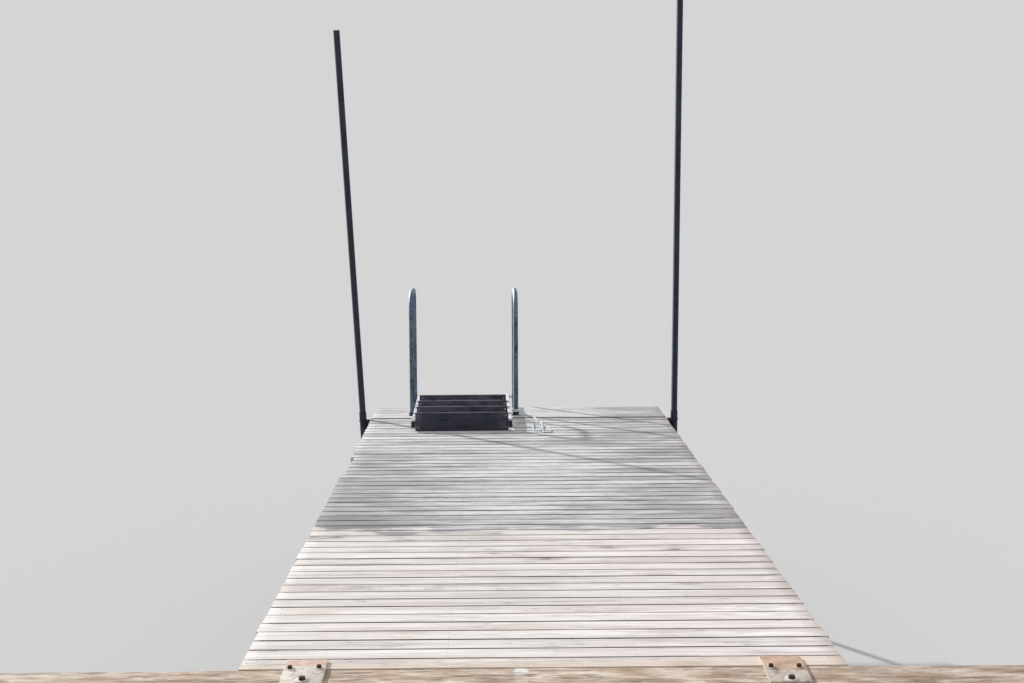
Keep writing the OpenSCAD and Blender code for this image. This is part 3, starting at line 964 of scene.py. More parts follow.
@dataclass
class Finishes:
    """Every material of the jetty, by its name."""

    made: dict[str, bpy.types.Material] = field(default_factory=dict)

    def build(self) -> None:
        """Makes them all."""
        # The deck boards' grime darkens the faces in their gaps as painted shade
        board = DeckTimber(
            "deck_board", pale=paint(254, 253, 252), dark=paint(224, 218, 215), knot=paint(150, 132, 120),
            sawn=paint(222, 205, 186), knots=0.08, streaks=0.34, rings=0.09, checks=0.85, stains=0.1,
            grime=0.92, boards=0.1, grey=paint(238, 237, 240), dull_grey=paint(178, 177, 181),
            streak_grey=paint(104, 103, 107), fresh=paint(240, 222, 204), stained=paint(110, 88, 82),
        )
        beam = BeamTimber(
            "beam_timber", pale=paint(244, 229, 214), dark=paint(170, 148, 130), knot=paint(104, 80, 60),
            sawn=paint(180, 150, 118), streaks=0.3, checks=1.0, stains=0.2, relief=0.8, ring_pitch=0.009,
            shortness=4.5,
        )
        joist = WeatheredTimber(
            "frame_timber", pale=paint(150, 134, 116), dark=paint(92, 80, 68), knot=paint(70, 52, 38),
            sawn=paint(160, 136, 104), stains=0.4,
        )
        # The treads' pale and dark are darkened as painted shade of the faces turned to the shore, and worn
        # is their lighter top, partly wear and partly a painted sunlit top
        tread = TreadTimber(
            "tread_wood", pale=paint(69, 74, 92), dark=paint(36, 39, 53), knot=paint(30, 28, 32),
            sawn=paint(96, 90, 86), worn=paint(104, 97, 103), knots=0.08, stains=0.25,
            rubbed=paint(101, 98, 110),
        )
        pile = LogTimber("pile_timber", paint(150, 138, 124), paint(92, 82, 72), paint(58, 54, 44))
        # Each plate's bleached is a painted highlight on its edges that face the key lamp
        plate = WornSteel(
            "plate_steel", paint(244, 237, 228), paint(180, 170, 160), paint(170, 112, 82), metallic=0.1,
            roughness=(0.5, 0.75), spots=0.2, patch=paint(232, 202, 186), patch_span=(0.087, 0.105),
            patch_lean=0.032, bleached=paint(250, 246, 240), relief=0.3,
        )
        rustier = WornSteel(
            "rustier_plate", paint(223, 211, 199), paint(152, 141, 130), paint(160, 104, 74), metallic=0.1,
            roughness=(0.5, 0.75), spots=0.25, patch=paint(220, 187, 161), patch_span=(0.087, 0.105),
            patch_lean=0.032, bleached=paint(217, 204, 191), relief=0.3,
        )
        # The pole steel is dark partly as painted shade of its side away from the key lamp, and its bleached
        # is a painted sunlit side
        pole = WornSteel(
            "pole_steel", paint(41, 53, 67), paint(19, 28, 40), paint(66, 54, 50), metallic=0.2,
            roughness=(0.42, 0.65), spots=0.25, spangle=0.1, bleached=paint(130, 140, 151), relief=0.3,
        )
        bar = WornSteel(
            "rusty_bar", paint(70, 52, 46), paint(36, 28, 26), paint(96, 60, 44),
            metallic=0.1, roughness=(0.7, 0.9), spots=0.5, spangle=0.1, relief=0.4,
        )
        bolt = WornSteel(
            "bolt_steel", paint(52, 40, 34), paint(26, 20, 18), paint(84, 52, 38),
            metallic=0.2, roughness=(0.5, 0.75), spots=0.4, spangle=0.1, relief=0.3,
        )
        nail = WornSteel(
            "nail_steel", paint(208, 203, 199), paint(176, 168, 162), paint(158, 124, 100),
            metallic=0.2, roughness=(0.5, 0.75), spots=0.3,
        )
        screw = WornSteel(
            "screw_steel", paint(176, 178, 182), paint(126, 128, 132), paint(120, 104, 92),
            metallic=0.2, roughness=(0.4, 0.6), spots=0.05,
        )
        # The tube steel's blue-grey is partly a painted reflection of blue sky and water, and its bleached is
        # a painted sunlit side
        tube = WornSteel(
            "galvanised_tube", paint(114, 134, 154), paint(56, 72, 92), paint(110, 84, 62),
            metallic=0.5, roughness=(0.5, 0.66), spots=0.0, bleached=paint(180, 194, 206),
        )
        rail = WornSteel(
            "ladder_rail", paint(250, 250, 250), paint(224, 226, 229), paint(190, 182, 172),
            metallic=0.1, roughness=(0.3, 0.5), spots=0.05, spangle=0.1,
        )
        foot = MouldedPlastic("black_foot", paint(30, 33, 37), paint(64, 66, 70))
        plug = MouldedPlastic("black_plug", paint(15, 17, 21), paint(32, 34, 40))
        rope = LaidRope("rope", paint(250, 252, 251), paint(214, 232, 232))
        steels = (plate, rustier, pole, bar, bolt, nail, screw, tube, rail)
        for each in (board, beam, joist, tread, pile, *steels, foot, plug, rope):
            self.made[each.name] = each.make()

    def __getitem__(self, name: str) -> bpy.types.Material:
        """The material of that name."""
        return self.made[name]


# Runs of repeated parts


@dataclass
class Run:
    """A Geometry Nodes tree that repeats the mesh it is given.

    A subclass gives each input with its usual value in USUAL, and lays the parts out in lay_out.
    """

    USUAL: ClassVar[Mapping[str, Value]] = {}
    KINDS: ClassVar[Mapping[type, str]] = {
        int: "NodeSocketInt", float: "NodeSocketFloat", tuple: "NodeSocketVector",
    }

    name: str
    keys: dict[str, str] = field(default_factory=dict)
    graph: Graph = field(init=False)
    given: bpy.types.Node = field(init=False)

    def __post_init__(self) -> None:
        """Makes the tree with its inputs, its parts and its output."""
        tree = bpy.data.node_groups.new(self.name, "GeometryNodeTree")
        tree.interface.new_socket("Geometry", in_out="OUTPUT", socket_type="NodeSocketGeometry")
        tree.interface.new_socket("Geometry", in_out="INPUT", socket_type="NodeSocketGeometry")
        kinds = {label: self.KINDS[type(value)] for label, value in self.USUAL.items()}
        for label, kind in {**kinds, "seed": "NodeSocketInt", "material": "NodeSocketMaterial"}.items():
            self.keys[label] = tree.interface.new_socket(label, in_out="INPUT", socket_type=kind).identifier
        self.graph = Graph(tree)
        self.given = self.graph.add("NodeGroupInput")
        inputs = {"Geometry": self.lay_out(), "Material": self.size("material")}
        dressed = self.graph.wire("GeometryNodeSetMaterial", inputs)
        self.graph.add("NodeGroupOutput", {0: dressed})

    def size(self, label: str) -> Wire:
        """The output that holds one of the inputs."""
        return Wire(self.graph, self.given.outputs[label])

    def lay_out(self) -> Wire:
        """The repeated parts as one real mesh."""
        raise NotImplementedError

    def chance(self, part: Value, salt: int, low: float = -1.0, high: float = 1.0) -> Wire:
        """A number for each part that stays the same from one run to the next."""
        inputs = {2: low, 3: high, 7: part, 8: self.size("seed") + salt}
        return self.graph.wire("FunctionNodeRandomValue", inputs, 1, data_type="FLOAT")

    def stored(self, geometry: Value, name: str, value: Value, kind: str = "FLOAT") -> Wire:
        """The geometry with one more attribute on its points."""
        inputs = {"Geometry": geometry, "Name": name, "Value": value}
        return self.graph.wire("GeometryNodeStoreNamedAttribute", inputs, data_type=kind, domain="POINT")

    def named(self, name: str, kind: str = "FLOAT") -> Wire:
        """An attribute's value."""
        return self.graph.wire("GeometryNodeInputNamedAttribute", {"Name": name}, data_type=kind)

    def moved(self, geometry: Value, offset: Value) -> Wire:
        """The geometry with each point moved by offset."""
        return self.graph.wire("GeometryNodeSetPosition", {"Geometry": geometry, "Offset": offset})

    def grid(self, counts: Sequence[str], pitches: Sequence[str]) -> Wire:
        """Points on a grid, each with its number in the attribute part.

        Args:
            counts, pitches: the names of the inputs for each direction, the one that runs first in front.

        Returns:
            The points.
        """
        graph = self.graph
        index = graph.wire("GeometryNodeInputIndex")
        total: Value = 1.0
        place: Value = NO_STEP
        for count, pitch in zip(counts, pitches):
            step = graph.math("MODULO", graph.math("FLOOR", index / total), self.size(count))
            place = graph.vector("ADD", place, graph.scaled(self.size(pitch), step))
            total = total * self.size(count)
        points = graph.wire("GeometryNodePoints", {"Count": total, "Position": place})
        return self.stored(points, "part", index)

    def put(self, points: Value, turn: Value = None, scale: Value = None) -> Wire:
        """The given mesh on each of the points, made real."""
        inputs = {"Points": points, "Instance": self.given.outputs[0]}
        if turn is not None:
            inputs["Rotation"] = self.graph.wire("FunctionNodeEulerToRotation", {0: turn})
        if scale is not None:
            inputs["Scale"] = scale
        placed = self.graph.wire("GeometryNodeInstanceOnPoints", inputs)
        return self.graph.wire("GeometryNodeRealizeInstances", {0: placed})

    def make(
        self, name: str, mesh: bpy.types.Mesh, material: bpy.types.Material, place: Matrix, **values: Value
    ) -> bpy.types.Object:
        """One run as a plain mesh.

        Args:
            name: the new object's name.
            mesh: the part that is repeated.
            material: its finish.
            place: where the run's own frame is.
            values: the inputs that differ from their usual values, and the seed.

        Returns:
            The object, at the origin with its place in its mesh.
        """
        made = bpy.data.objects.new(name, mesh)
        bpy.context.scene.collection.objects.link(made)
        modifier = made.modifiers.new("run", "NODES")
        modifier.node_group = self.graph.tree
        for label, value in {**self.USUAL, **values, "material": material}.items():
            modifier[self.keys[label]] = value
        depsgraph = bpy.context.evaluated_depsgraph_get()
        done = bpy.data.meshes.new_from_object(
            made.evaluated_get(depsgraph), preserve_all_data_layers=True, depsgraph=depsgraph
        )
        made.modifiers.remove(modifier)
        made.data = done
        bpy.data.meshes.remove(mesh)
        done.name = name
        done.transform(place)
        return made


@dataclass
class TimberRun(Run):
    """Bars in rows, each with its own ends, place, warp, cup and grain.

    short_cut shortens the left ends of short_count bars from the bar numbered short_first.
    """

    USUAL = {
        "count": 1, "rows": 1, "pitch": NO_STEP, "row_pitch": NO_STEP, "first": 0, "length": 1.0,
        "width": 1.0, "ends": 0.0, "shift": 0.0, "warp": 0.0, "cup": 0.0, "rough": 0.0, "wane": 0.0,
        "short_first": 0, "short_count": 0, "short_cut": 0.0,
    }

    def lay_out(self) -> Wire:
        """The bars with their differences and their attributes grain and tint."""
        graph = self.graph
        bars = self.put(self.grid(("count", "rows"), ("pitch", "row_pitch")))
        part = self.named("part") + self.size("first")
        own = self.named("grain", "FLOAT_VECTOR")
        x, y, z = graph.parts(own)
        along = x / self.size("length")
        across = y / self.size("width")
        right = (0.5 + along) * self.chance(part, 1)
        left = (0.5 - along) * self.chance(part, 2)
        ends = (right + left) * self.size("ends")
        past = part - self.size("short_first")
        short = graph.math("LESS_THAN", past, self.size("short_count") - 0.5)
        inside = graph.math("GREATER_THAN", past, -0.5) * short
        cut = inside * (self.size("short_cut") * (0.5 - along))
        phase = part * 3.7
        bow = graph.noise(graph.joined(x * 1.1, phase, 0.3)) - 0.5
        lift = graph.noise(graph.joined(x * 1.6, phase, 8.1)) - 0.5
        shift = (self.chance(part, 3) + bow) * self.size("shift")
        cup = self.chance(part, 4) * (across * across * 4.0) * self.size("cup")
        warp = lift * self.size("warp") + cup
        apart = graph.vector("ADD", own, graph.joined(phase, 0.0, 0.0))
        lumps = graph.noise(apart, (2.2, 14.0, 14.0), 4.0, 0.6, colour=True)
        rough = graph.scaled(graph.vector("SUBTRACT", lumps, (0.5, 0.5, 0.5)), self.size("rough"))
        corner = graph.band(abs(across), 0.36, 0.5) * graph.band(z, -0.04, 0.0)
        side = graph.math("SIGN", y)
        chipped = graph.band(graph.noise(graph.joined(x * 2.6, side, phase), detail=4.0), 0.35, 0.8)
        gone = corner * (self.size("wane") * chipped)
        worn = graph.joined(0.0, gone * (side * -1.0), gone * -0.6)
        move = graph.joined(ends + cut, shift, warp)
        offset = graph.vector("ADD", graph.vector("ADD", move, rough), worn)
        spans = ((5, -9.0, 9.0), (6, -0.1, 0.1), (7, -0.012, 0.03))
        spread = [self.chance(part, *span) for span in spans]
        grain = graph.vector("ADD", own, graph.joined(*spread))
        grained = self.stored(self.moved(bars, offset), "grain", grain, "FLOAT_VECTOR")
        return self.stored(grained, "tint", self.chance(part, 8, 0.0, 1.0))


@dataclass
class FixingRun(Run):
    """Screws, nails or bolts on a grid, in pairs where there are pairs, each turned its own way.

    stray is how far each may be off its place, and spin how far it may be turned.
    """

    USUAL = {
        "pair": 1, "pair_pitch": NO_STEP, "count": 1, "pitch": NO_STEP, "rows": 1, "row_pitch": NO_STEP,
        "stray": 0.0, "spin": 0.0,
    }

    def lay_out(self) -> Wire:
        """The fixings, each off its place by as much as stray."""
        graph = self.graph
        points = self.grid(("pair", "count", "rows"), ("pair_pitch", "pitch", "row_pitch"))
        part = self.named("part")
        off = graph.joined(self.chance(part, 1), self.chance(part, 2), 0.0)
        moved = self.moved(points, graph.scaled(off, self.size("stray")))
        return self.put(moved, graph.joined(0.0, 0.0, self.chance(part, 3) * self.size("spin")))


@dataclass
class RingRun(Run):
    """Parts round a circle: the beads of a weld, or the screws in a socket."""

    USUAL = {"count": 1, "radius": 1.0, "start": 0.0, "uneven": 0.0}

    def lay_out(self) -> Wire:
        """The parts, each facing outwards and a little larger or smaller than the next."""
        graph = self.graph
        index = graph.wire("GeometryNodeInputIndex")
        angle = index / self.size("count") * (2.0 * math.pi) + self.size("start")
        circle = graph.joined(graph.math("COSINE", angle), graph.math("SINE", angle), 0.0)
        inputs = {"Count": self.size("count"), "Position": graph.scaled(circle, self.size("radius"))}
        points = self.stored(graph.wire("GeometryNodePoints", inputs), "part", index)
        turned = self.stored(points, "angle", angle)
        size = 1.0 + self.chance(self.named("part"), 1) * self.size("uneven")
        return self.put(turned, graph.joined(0.0, 0.0, self.named("angle")), graph.joined(size, size, size))


# Pieces


def new_piece(name: str, mesh: bpy.types.Mesh, material: bpy.types.Material) -> bpy.types.Object:
    """A new object at the origin with one material."""
    mesh.materials.clear()
    mesh.materials.append(material)
    made = bpy.data.objects.new(name, mesh)
    bpy.context.scene.collection.objects.link(made)
    return made


@dataclass
class Workshop:
    """What makes the pieces: the finishes, and the trees that repeat timbers, fixings and rings of parts."""

    finishes: Finishes
    timbers: TimberRun
    fixings: FixingRun
    rings: RingRun

    def settle(self, piece: bpy.types.Object, body: Body, replaced: Sequence[str]) -> None:
        """Gives a finished piece its body and the CAD nodes that it stands for, and reports it.

        Args:
            piece: the object.
            body: the body that it rides on.
            replaced: the CAD nodes that it replaces.
        """
        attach(piece, body.value)
        if replaced:
            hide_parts(*replaced)
        piece.data.calc_loop_triangles()
        log.info("%s: %d triangles on %s", piece.name, len(piece.data.loop_triangles), body.value)

    def add(
        self, name: str, shape: Shape, finish: str, replaced: Sequence[str] = (), crease: float = 35.0
    ) -> bpy.types.Object:
        """A solid as a piece of the jetty, with its edges sharper than crease kept sharp."""
        piece = new_piece(name, shape.mesh(name, crease), self.finishes[finish])
        self.settle(piece, Body.JETTY, replaced)
        return piece

    def refined(
        self, node: str, finish: str, body: Body = Body.JETTY, bevel: float = 0.0008
    ) -> bpy.types.Object:
        """A CAD node's shape with its facets merged, its edges eased and its round faces smooth.

        Args:
            node: the CAD node, which the new piece replaces.
            finish: the name of its finish.
            body: the body that it rides on.
            bevel: how far its sharp edges are eased, in metres.

        Returns:
            The new piece.
        """
        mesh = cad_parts[node].data.copy()
        mesh.name = f"{node}_eased"
        work = bmesh.new()
        work.from_mesh(mesh)
        bmesh.ops.remove_doubles(work, verts=work.verts, dist=2e-6)
        bmesh.ops.dissolve_limit(work, angle_limit=math.radians(0.6), verts=work.verts, edges=work.edges)
        if bevel:
            crease = math.radians(40.0)
            sharp = [e for e in work.edges if e.is_manifold and e.calc_face_angle() > crease]
            bmesh.ops.bevel(
                work, geom=sharp, offset=bevel, segments=2, profile=0.6, affect="EDGES", clamp_overlap=True
            )
        work.to_mesh(mesh)
        work.free()
        smooth_by_angle(mesh, 40.0)
        places = np.zeros(len(mesh.vertices) * 3, np.float32)
        mesh.vertices.foreach_get("co", places)
        mesh.attributes.new("grain", "FLOAT_VECTOR", "POINT").data.foreach_set("vector", places)
        piece = new_piece(mesh.name, mesh, self.finishes[finish])
        self.settle(piece, body, [node])
        return piece

    def repeated(
        self,
        run: Run,
        name: str,
        mesh: bpy.types.Mesh,
        finish: str,
        place: Matrix,
        body: Body = Body.JETTY,
        replaced: Sequence[str] = (),
        **values: Value,
    ) -> None:
        """A run of parts as one piece.

        Args:
            run: the tree that repeats them.
            name: the piece's name.
            mesh: the part that is repeated.
            finish: the name of its finish.
            place: where the run's own frame is.
            body: the body that it rides on.
            replaced: the CAD nodes that it replaces.
            values: the tree's inputs.
        """
        piece = run.make(name, mesh, self.finishes[finish], place, **values)
        self.settle(piece, body, replaced)

    def timber(
        self,
        name: str,
        bar: Bar,
        finish: str,
        place: Matrix,
        replaced: Sequence[str],
        body: Body = Body.JETTY,
        **values: Value,
    ) -> None:
        """Bars of one size as one piece, with arguments as in repeated."""
        sizes = {"length": bar.length, "width": bar.width, **values}
        self.repeated(self.timbers, name, bar.mesh(name), finish, place, body, replaced, **sizes)


def washer(radius: float, thickness: float) -> Shape:
    """A flat washer that lies on z = 0, closed below the bolt that stands on it."""
    rim = (0.97 * radius, thickness)
    return lathe([(0.0, -SUNK), (radius, -SUNK), (radius, 0.8 * thickness), rim, (0.0, thickness)], 28)


def bolt_head(across: float, height: float) -> Shape:
    """A hexagonal head that stands on z = 0, by its size across flats and its height."""
    corner = across / math.sqrt(3.0)
    shoulder = (corner, height - 0.12 * across)
    top = (0.87 * corner, height)
    return lathe([(0.0, 0.0), (corner, 0.0), shoulder, top, (0.0, height - 0.0004)], 6)


def round_screw(radius: float, height: float, sides: int = 16) -> Shape:
    """A domed screw head with a hollow in its middle, standing on z = 0."""
    dome = [(radius, 0.25 * height), (0.8 * radius, 0.8 * height), (0.45 * radius, height)]
    hollow = [(0.3 * radius, 0.35 * height), (0.0, 0.3 * height)]
    return lathe([(0.0, -0.0015), (radius, -0.0015), *dome, *hollow], sides)


def sunk_nail(radius: float) -> Shape:
    """A nail's head sunk level with the timber."""
    return lathe([(0.0, -0.003), (radius, -0.003), (radius, 0.0), (0.85 * radius, 0.0004), (0.0, 0.0001)], 8)


def facing(place: Sequence[float], direction: Sequence[float]) -> Matrix:
    """Where a part that stands on z = 0 goes, to stand at place and point in direction."""
    turn = Vector(direction).to_track_quat("Z", "Y").to_matrix().to_4x4()
    return Matrix.Translation(Vector(place)) @ turn


def ripple(values: np.ndarray, seed: int) -> np.ndarray:
    """A smooth uneven curve from -1 to 1 over the values, the same each time for a seed."""
    chance = np.random.default_rng(seed)
    total = np.zeros_like(values, dtype=float)
    for wave in range(1, 6):
        total += np.sin(values * wave * chance.uniform(0.7, 1.3) + chance.uniform(0.0, 6.3)) / wave
    return total / 2.0


# Sub-assemblies


@dataclass
class PullRope:
    """The rope that pulls the ladder up: a hitch round the right handrail's near leg, and its free length.

    route gives places across and along the deck and heights above it, in metres. The hitch lies close round
    the leg, and goes over its own lower turn at crossing, which is a number of turns, as cross_width is.
    """

    diameter: float = 0.01
    length: float = 1.59
    turn: float = 0.034
    crease: float = 80.0
    leg: tuple[float, float] = (-0.01751, 5.24214)
    leg_radius: float = 0.01685
    hitch_foot: float = 0.0275
    hitch_turns: float = 2.35
    hitch_points: int = 170
    hitch_start: float = math.radians(70.0)
    play: float = 0.0005
    rise: float = 0.009
    rise_from: float = 0.9
    rise_turns: float = 0.35
    crossing: float = 1.07
    cross_width: float = 0.11
    cross_lift: float = 0.0095
    whip_turns: int = 7
    whip_length: float = 0.009
    whip_inset: float = 0.002
    twine_radius: float = 0.0006
    route: tuple[Place, ...] = (
        (0.007, 5.2288, 0.0275), (0.025, 5.217, 0.025), (0.0435, 5.199, 0.016), (0.0605, 5.177, 0.008),
        (0.0775, 5.152, 0.0055), (0.095, 5.12, 0.0055), (0.11, 5.068, 0.0055), (0.1185, 4.996, 0.0055),
        (0.1285, 4.908, 0.0055), (0.143, 4.828, 0.0055), (0.161, 4.752, 0.0055), (0.178, 4.688, 0.0055),
        (0.191, 4.62, 0.0055), (0.1965, 4.562, 0.0055), (0.196, 4.522, 0.0055), (0.189, 4.5055, 0.0055),
        (0.1725, 4.499, 0.0055), (0.1552, 4.507, 0.0055), (0.1485, 4.523, 0.0055), (0.1475, 4.58, 0.0055),
        (0.1475, 4.645, 0.0055), (0.1475, 4.71, 0.0095), (0.148, 4.765, 0.0155), (0.144, 4.808, 0.017),
        (0.1365, 4.83, 0.0155), (0.118, 4.8385, 0.0095), (0.0995, 4.83, 0.0055), (0.092, 4.808, 0.0055),
        (0.0895, 4.755, 0.0055), (0.0885, 4.705, 0.0055), (0.0885, 4.635, 0.0055), (0.0892, 4.585, 0.0055),
        (0.096, 4.567, 0.0055), (0.1125, 4.56, 0.0055), (0.129, 4.567, 0.0055), (0.136, 4.585, 0.0055),
        (0.136, 4.63, 0.0055), (0.135, 4.672, 0.0055),
    )

    def line(self, steps: int) -> np.ndarray:
        """The rope's middle in the deck's frame.

        Args:
            steps: how many points lie between one place of the route and the next.

        Returns:
            Points on the smooth curve through the route, one a row.
        """
        p = np.array(self.route)
        points = []
        for i in range(len(p) - 1):
            a, b, c, d = p[max(i - 1, 0)], p[i], p[i + 1], p[min(i + 2, len(p) - 1)]
            for t in np.arange(steps) / steps:
                bent = 2 * a - 5 * b + 4 * c - d + t * (3 * b - a - 3 * c + d)
                points.append(b + t / 2 * (c - a + t * bent))
        points.append(p[-1])
        return np.array(points)

    def hitch_line(self) -> np.ndarray:
        """The hitch's middle: one turn below, a turn across the front over both, and one turn above."""
        turns = np.linspace(0.0, self.hitch_turns, self.hitch_points)
        away = 2.0 * math.pi * turns - self.hitch_start
        rise = np.clip((turns - self.rise_from) / self.rise_turns, 0.0, 1.0)
        rise = rise * rise * (3.0 - 2.0 * rise)
        over = np.exp(-(((turns - self.crossing) / self.cross_width) ** 2))
        reach = self.leg_radius + self.play + self.diameter / 2.0 + self.cross_lift * over
        x = self.leg[0] + reach * np.cos(away)
        y = self.leg[1] + reach * np.sin(away)
        return np.stack([x, y, self.hitch_foot + self.rise * rise], axis=1)

    def laid(self, line: np.ndarray) -> Shape:
        """The rope along a line of the deck's frame."""
        return twisted_line(line, self.diameter, self.turn).moved(DECK)

    def whipping(self, end: np.ndarray) -> Shape:
        """Twine wound round the rope's last centimetre, whose points are given."""
        tip = end[-1]
        back = (end[0] - tip) / np.linalg.norm(end[0] - tip)
        side = np.cross(back, np.array([0.0, 0.0, 1.0]))
        side /= np.linalg.norm(side)
        up = np.cross(side, back)
        turns = np.linspace(0.0, self.whip_turns, self.whip_turns * 14)
        angle = 2.0 * math.pi * turns
        reach = self.diameter / 2.0 + 0.0001
        line = tip + self.whip_inset * back + (turns / self.whip_turns * self.whip_length)[:, None] * back
        line = line + reach * (np.cos(angle)[:, None] * side + np.sin(angle)[:, None] * up)
        return swept_rod(line, self.twine_radius, 6)

    def build(self, shop: Workshop) -> None:
        hitch = shop.add("pull_rope_hitch", self.laid(self.hitch_line()), "rope", ["rope_hitch"], self.crease)
        middle = self.line(24)
        free = shop.add("pull_rope_length", self.laid(middle), "rope", ["pull_rope"], self.crease)
        whipped = shop.add("rope_whipping", self.whipping(middle[-4:]).moved(DECK), "black_plug", crease=60.0)
        path = [tuple(DECK @ Vector(point)) for point in self.line(6)]


@dataclass
class ShoreSupport:
    """The shore beam on its three piles, the ledger behind it, and the two bent plates on its top.

    play is how far inside the CAD's box the beam's sides are, and top_play the same for its top. bolts gives
    the places of each plate's bolts, bolt_sizes their sizes across flats in the same order, and washer_share
    a washer's radius over its bolt's size.
    """

    length: float = 4.0
    width: float = 0.22
    play: float = 0.003
    top_play: float = 0.001
    wane: float = 0.0035
    pile_radius: float = 0.1
    pile_pitch: float = 1.6
    pile_sides: int = 72
    pile_rows: int = 40
    split_count: int = 3
    split_depth: float = 0.008
    split_width: float = 0.05
    plate_thickness: float = 0.01
    plate_sun: Place = (-0.995, -0.09, 0.0)
    bolt_sizes: tuple[float, ...] = (0.014, 0.014, 0.02)
    bolt_height: float = 0.011
    washer_share: float = 1.1
    washer_thickness: float = 0.0022
    bolts: Mapping[Side, tuple[tuple[float, float], ...]] = field(
        default_factory=lambda: {
            Side.LEFT: ((-0.825, 0.092), (-0.731, 0.097), (-0.775, 0.01)),
            Side.RIGHT: ((0.737, 0.078), (0.828, 0.076), (0.787, -0.009)),
        }
    )

    def build(self, shop: Workshop) -> None:
        """Makes all of it."""
        lost = 2.0 * self.play
        sizes = (self.length - lost, self.width - lost, BEAM_HEIGHT - self.play)
        shop.timber(
            "shore_beam_timber", Bar(*sizes, SAWN_EDGE, stations=220, inner=9), "beam_timber",
            Matrix.Translation((0.0, 0.0, NEAR_TOP - self.top_play)), ["shore_beam"], rough=lost,
            wane=self.wane, seed=4,
        )
        for name, place in (("left", -1), ("centre", 0), ("right", 1)):
            self.build_pile(shop, name, place * self.pile_pitch, place + 5)
        shop.refined("ledger", "frame_timber", bevel=SAWN_EDGE)
        for side, finish in ((Side.LEFT, "plate_steel"), (Side.RIGHT, "rustier_plate")):
            plate = shop.refined(f"tie_plate_{side.label}", finish, bevel=0.0006)
            # Painted highlight: the plate's faces towards the left are painted pale, as if lit by the key
            # lamp
            exposed(plate.data, self.plate_sun, "FACE")
            self.build_bolts(shop, side)

    def build_bolts(self, shop: Workshop, side: Side) -> None:
        """The bolts of one plate, each with its washer and each turned its own way."""
        heads = rings = Shape(np.zeros((0, 3)), [])
        for k, (size, (x, y)) in enumerate(zip(self.bolt_sizes, self.bolts[side])):
            place = Matrix.Translation((x, y, NEAR_TOP + self.plate_thickness))
            place = place @ Matrix.Rotation(0.4 + 0.7 * k, 4, "Z")
            rings = rings + washer(self.washer_share * size, self.washer_thickness).moved(place)
            heads = heads + bolt_head(size, self.bolt_height).moved(place)
        shop.add(f"tie_bolts_{side.label}", heads, "bolt_steel")
        shop.add(f"tie_washers_{side.label}", rings, "plate_steel")

    def build_pile(self, shop: Workshop, name: str, x: float, seed: int) -> None:
        """One round pile, out of round and split along its length.

        Args:
            shop: what makes the piece.
            name: the word that its CAD node ends in.
            x: its place along the beam.
            seed: what makes it different from the others.
        """
        turn = around(self.pile_sides)
        splits = np.random.default_rng(seed).uniform(0.0, 2.0 * math.pi, self.split_count)
        rings = []
        for height in np.linspace(0.0, BEAM_FOOT, self.pile_rows):
            radius = self.pile_radius - 0.0025 + 0.0015 * ripple(turn + 0.3 * height, seed)
            for k, split in enumerate(splits):
                wander = split + 0.12 * math.sin(height * 3.0 + k)
                off = np.abs((turn - wander + math.pi) % (2.0 * math.pi) - math.pi)
                reach = max(0.0, math.sin(math.pi * (height / BEAM_FOOT) ** (0.5 + 0.4 * k)))
                radius = radius - self.split_depth * reach * np.exp(-((off / self.split_width) ** 2))
            level = np.full(self.pile_sides, height)
            rings.append(np.stack([x + radius * np.cos(turn), radius * np.sin(turn), level], axis=1))
        shop.add(f"pile_{name}_log", capped(np.array(rings)), "pile_timber", [f"pile_{name}"], 50.0)


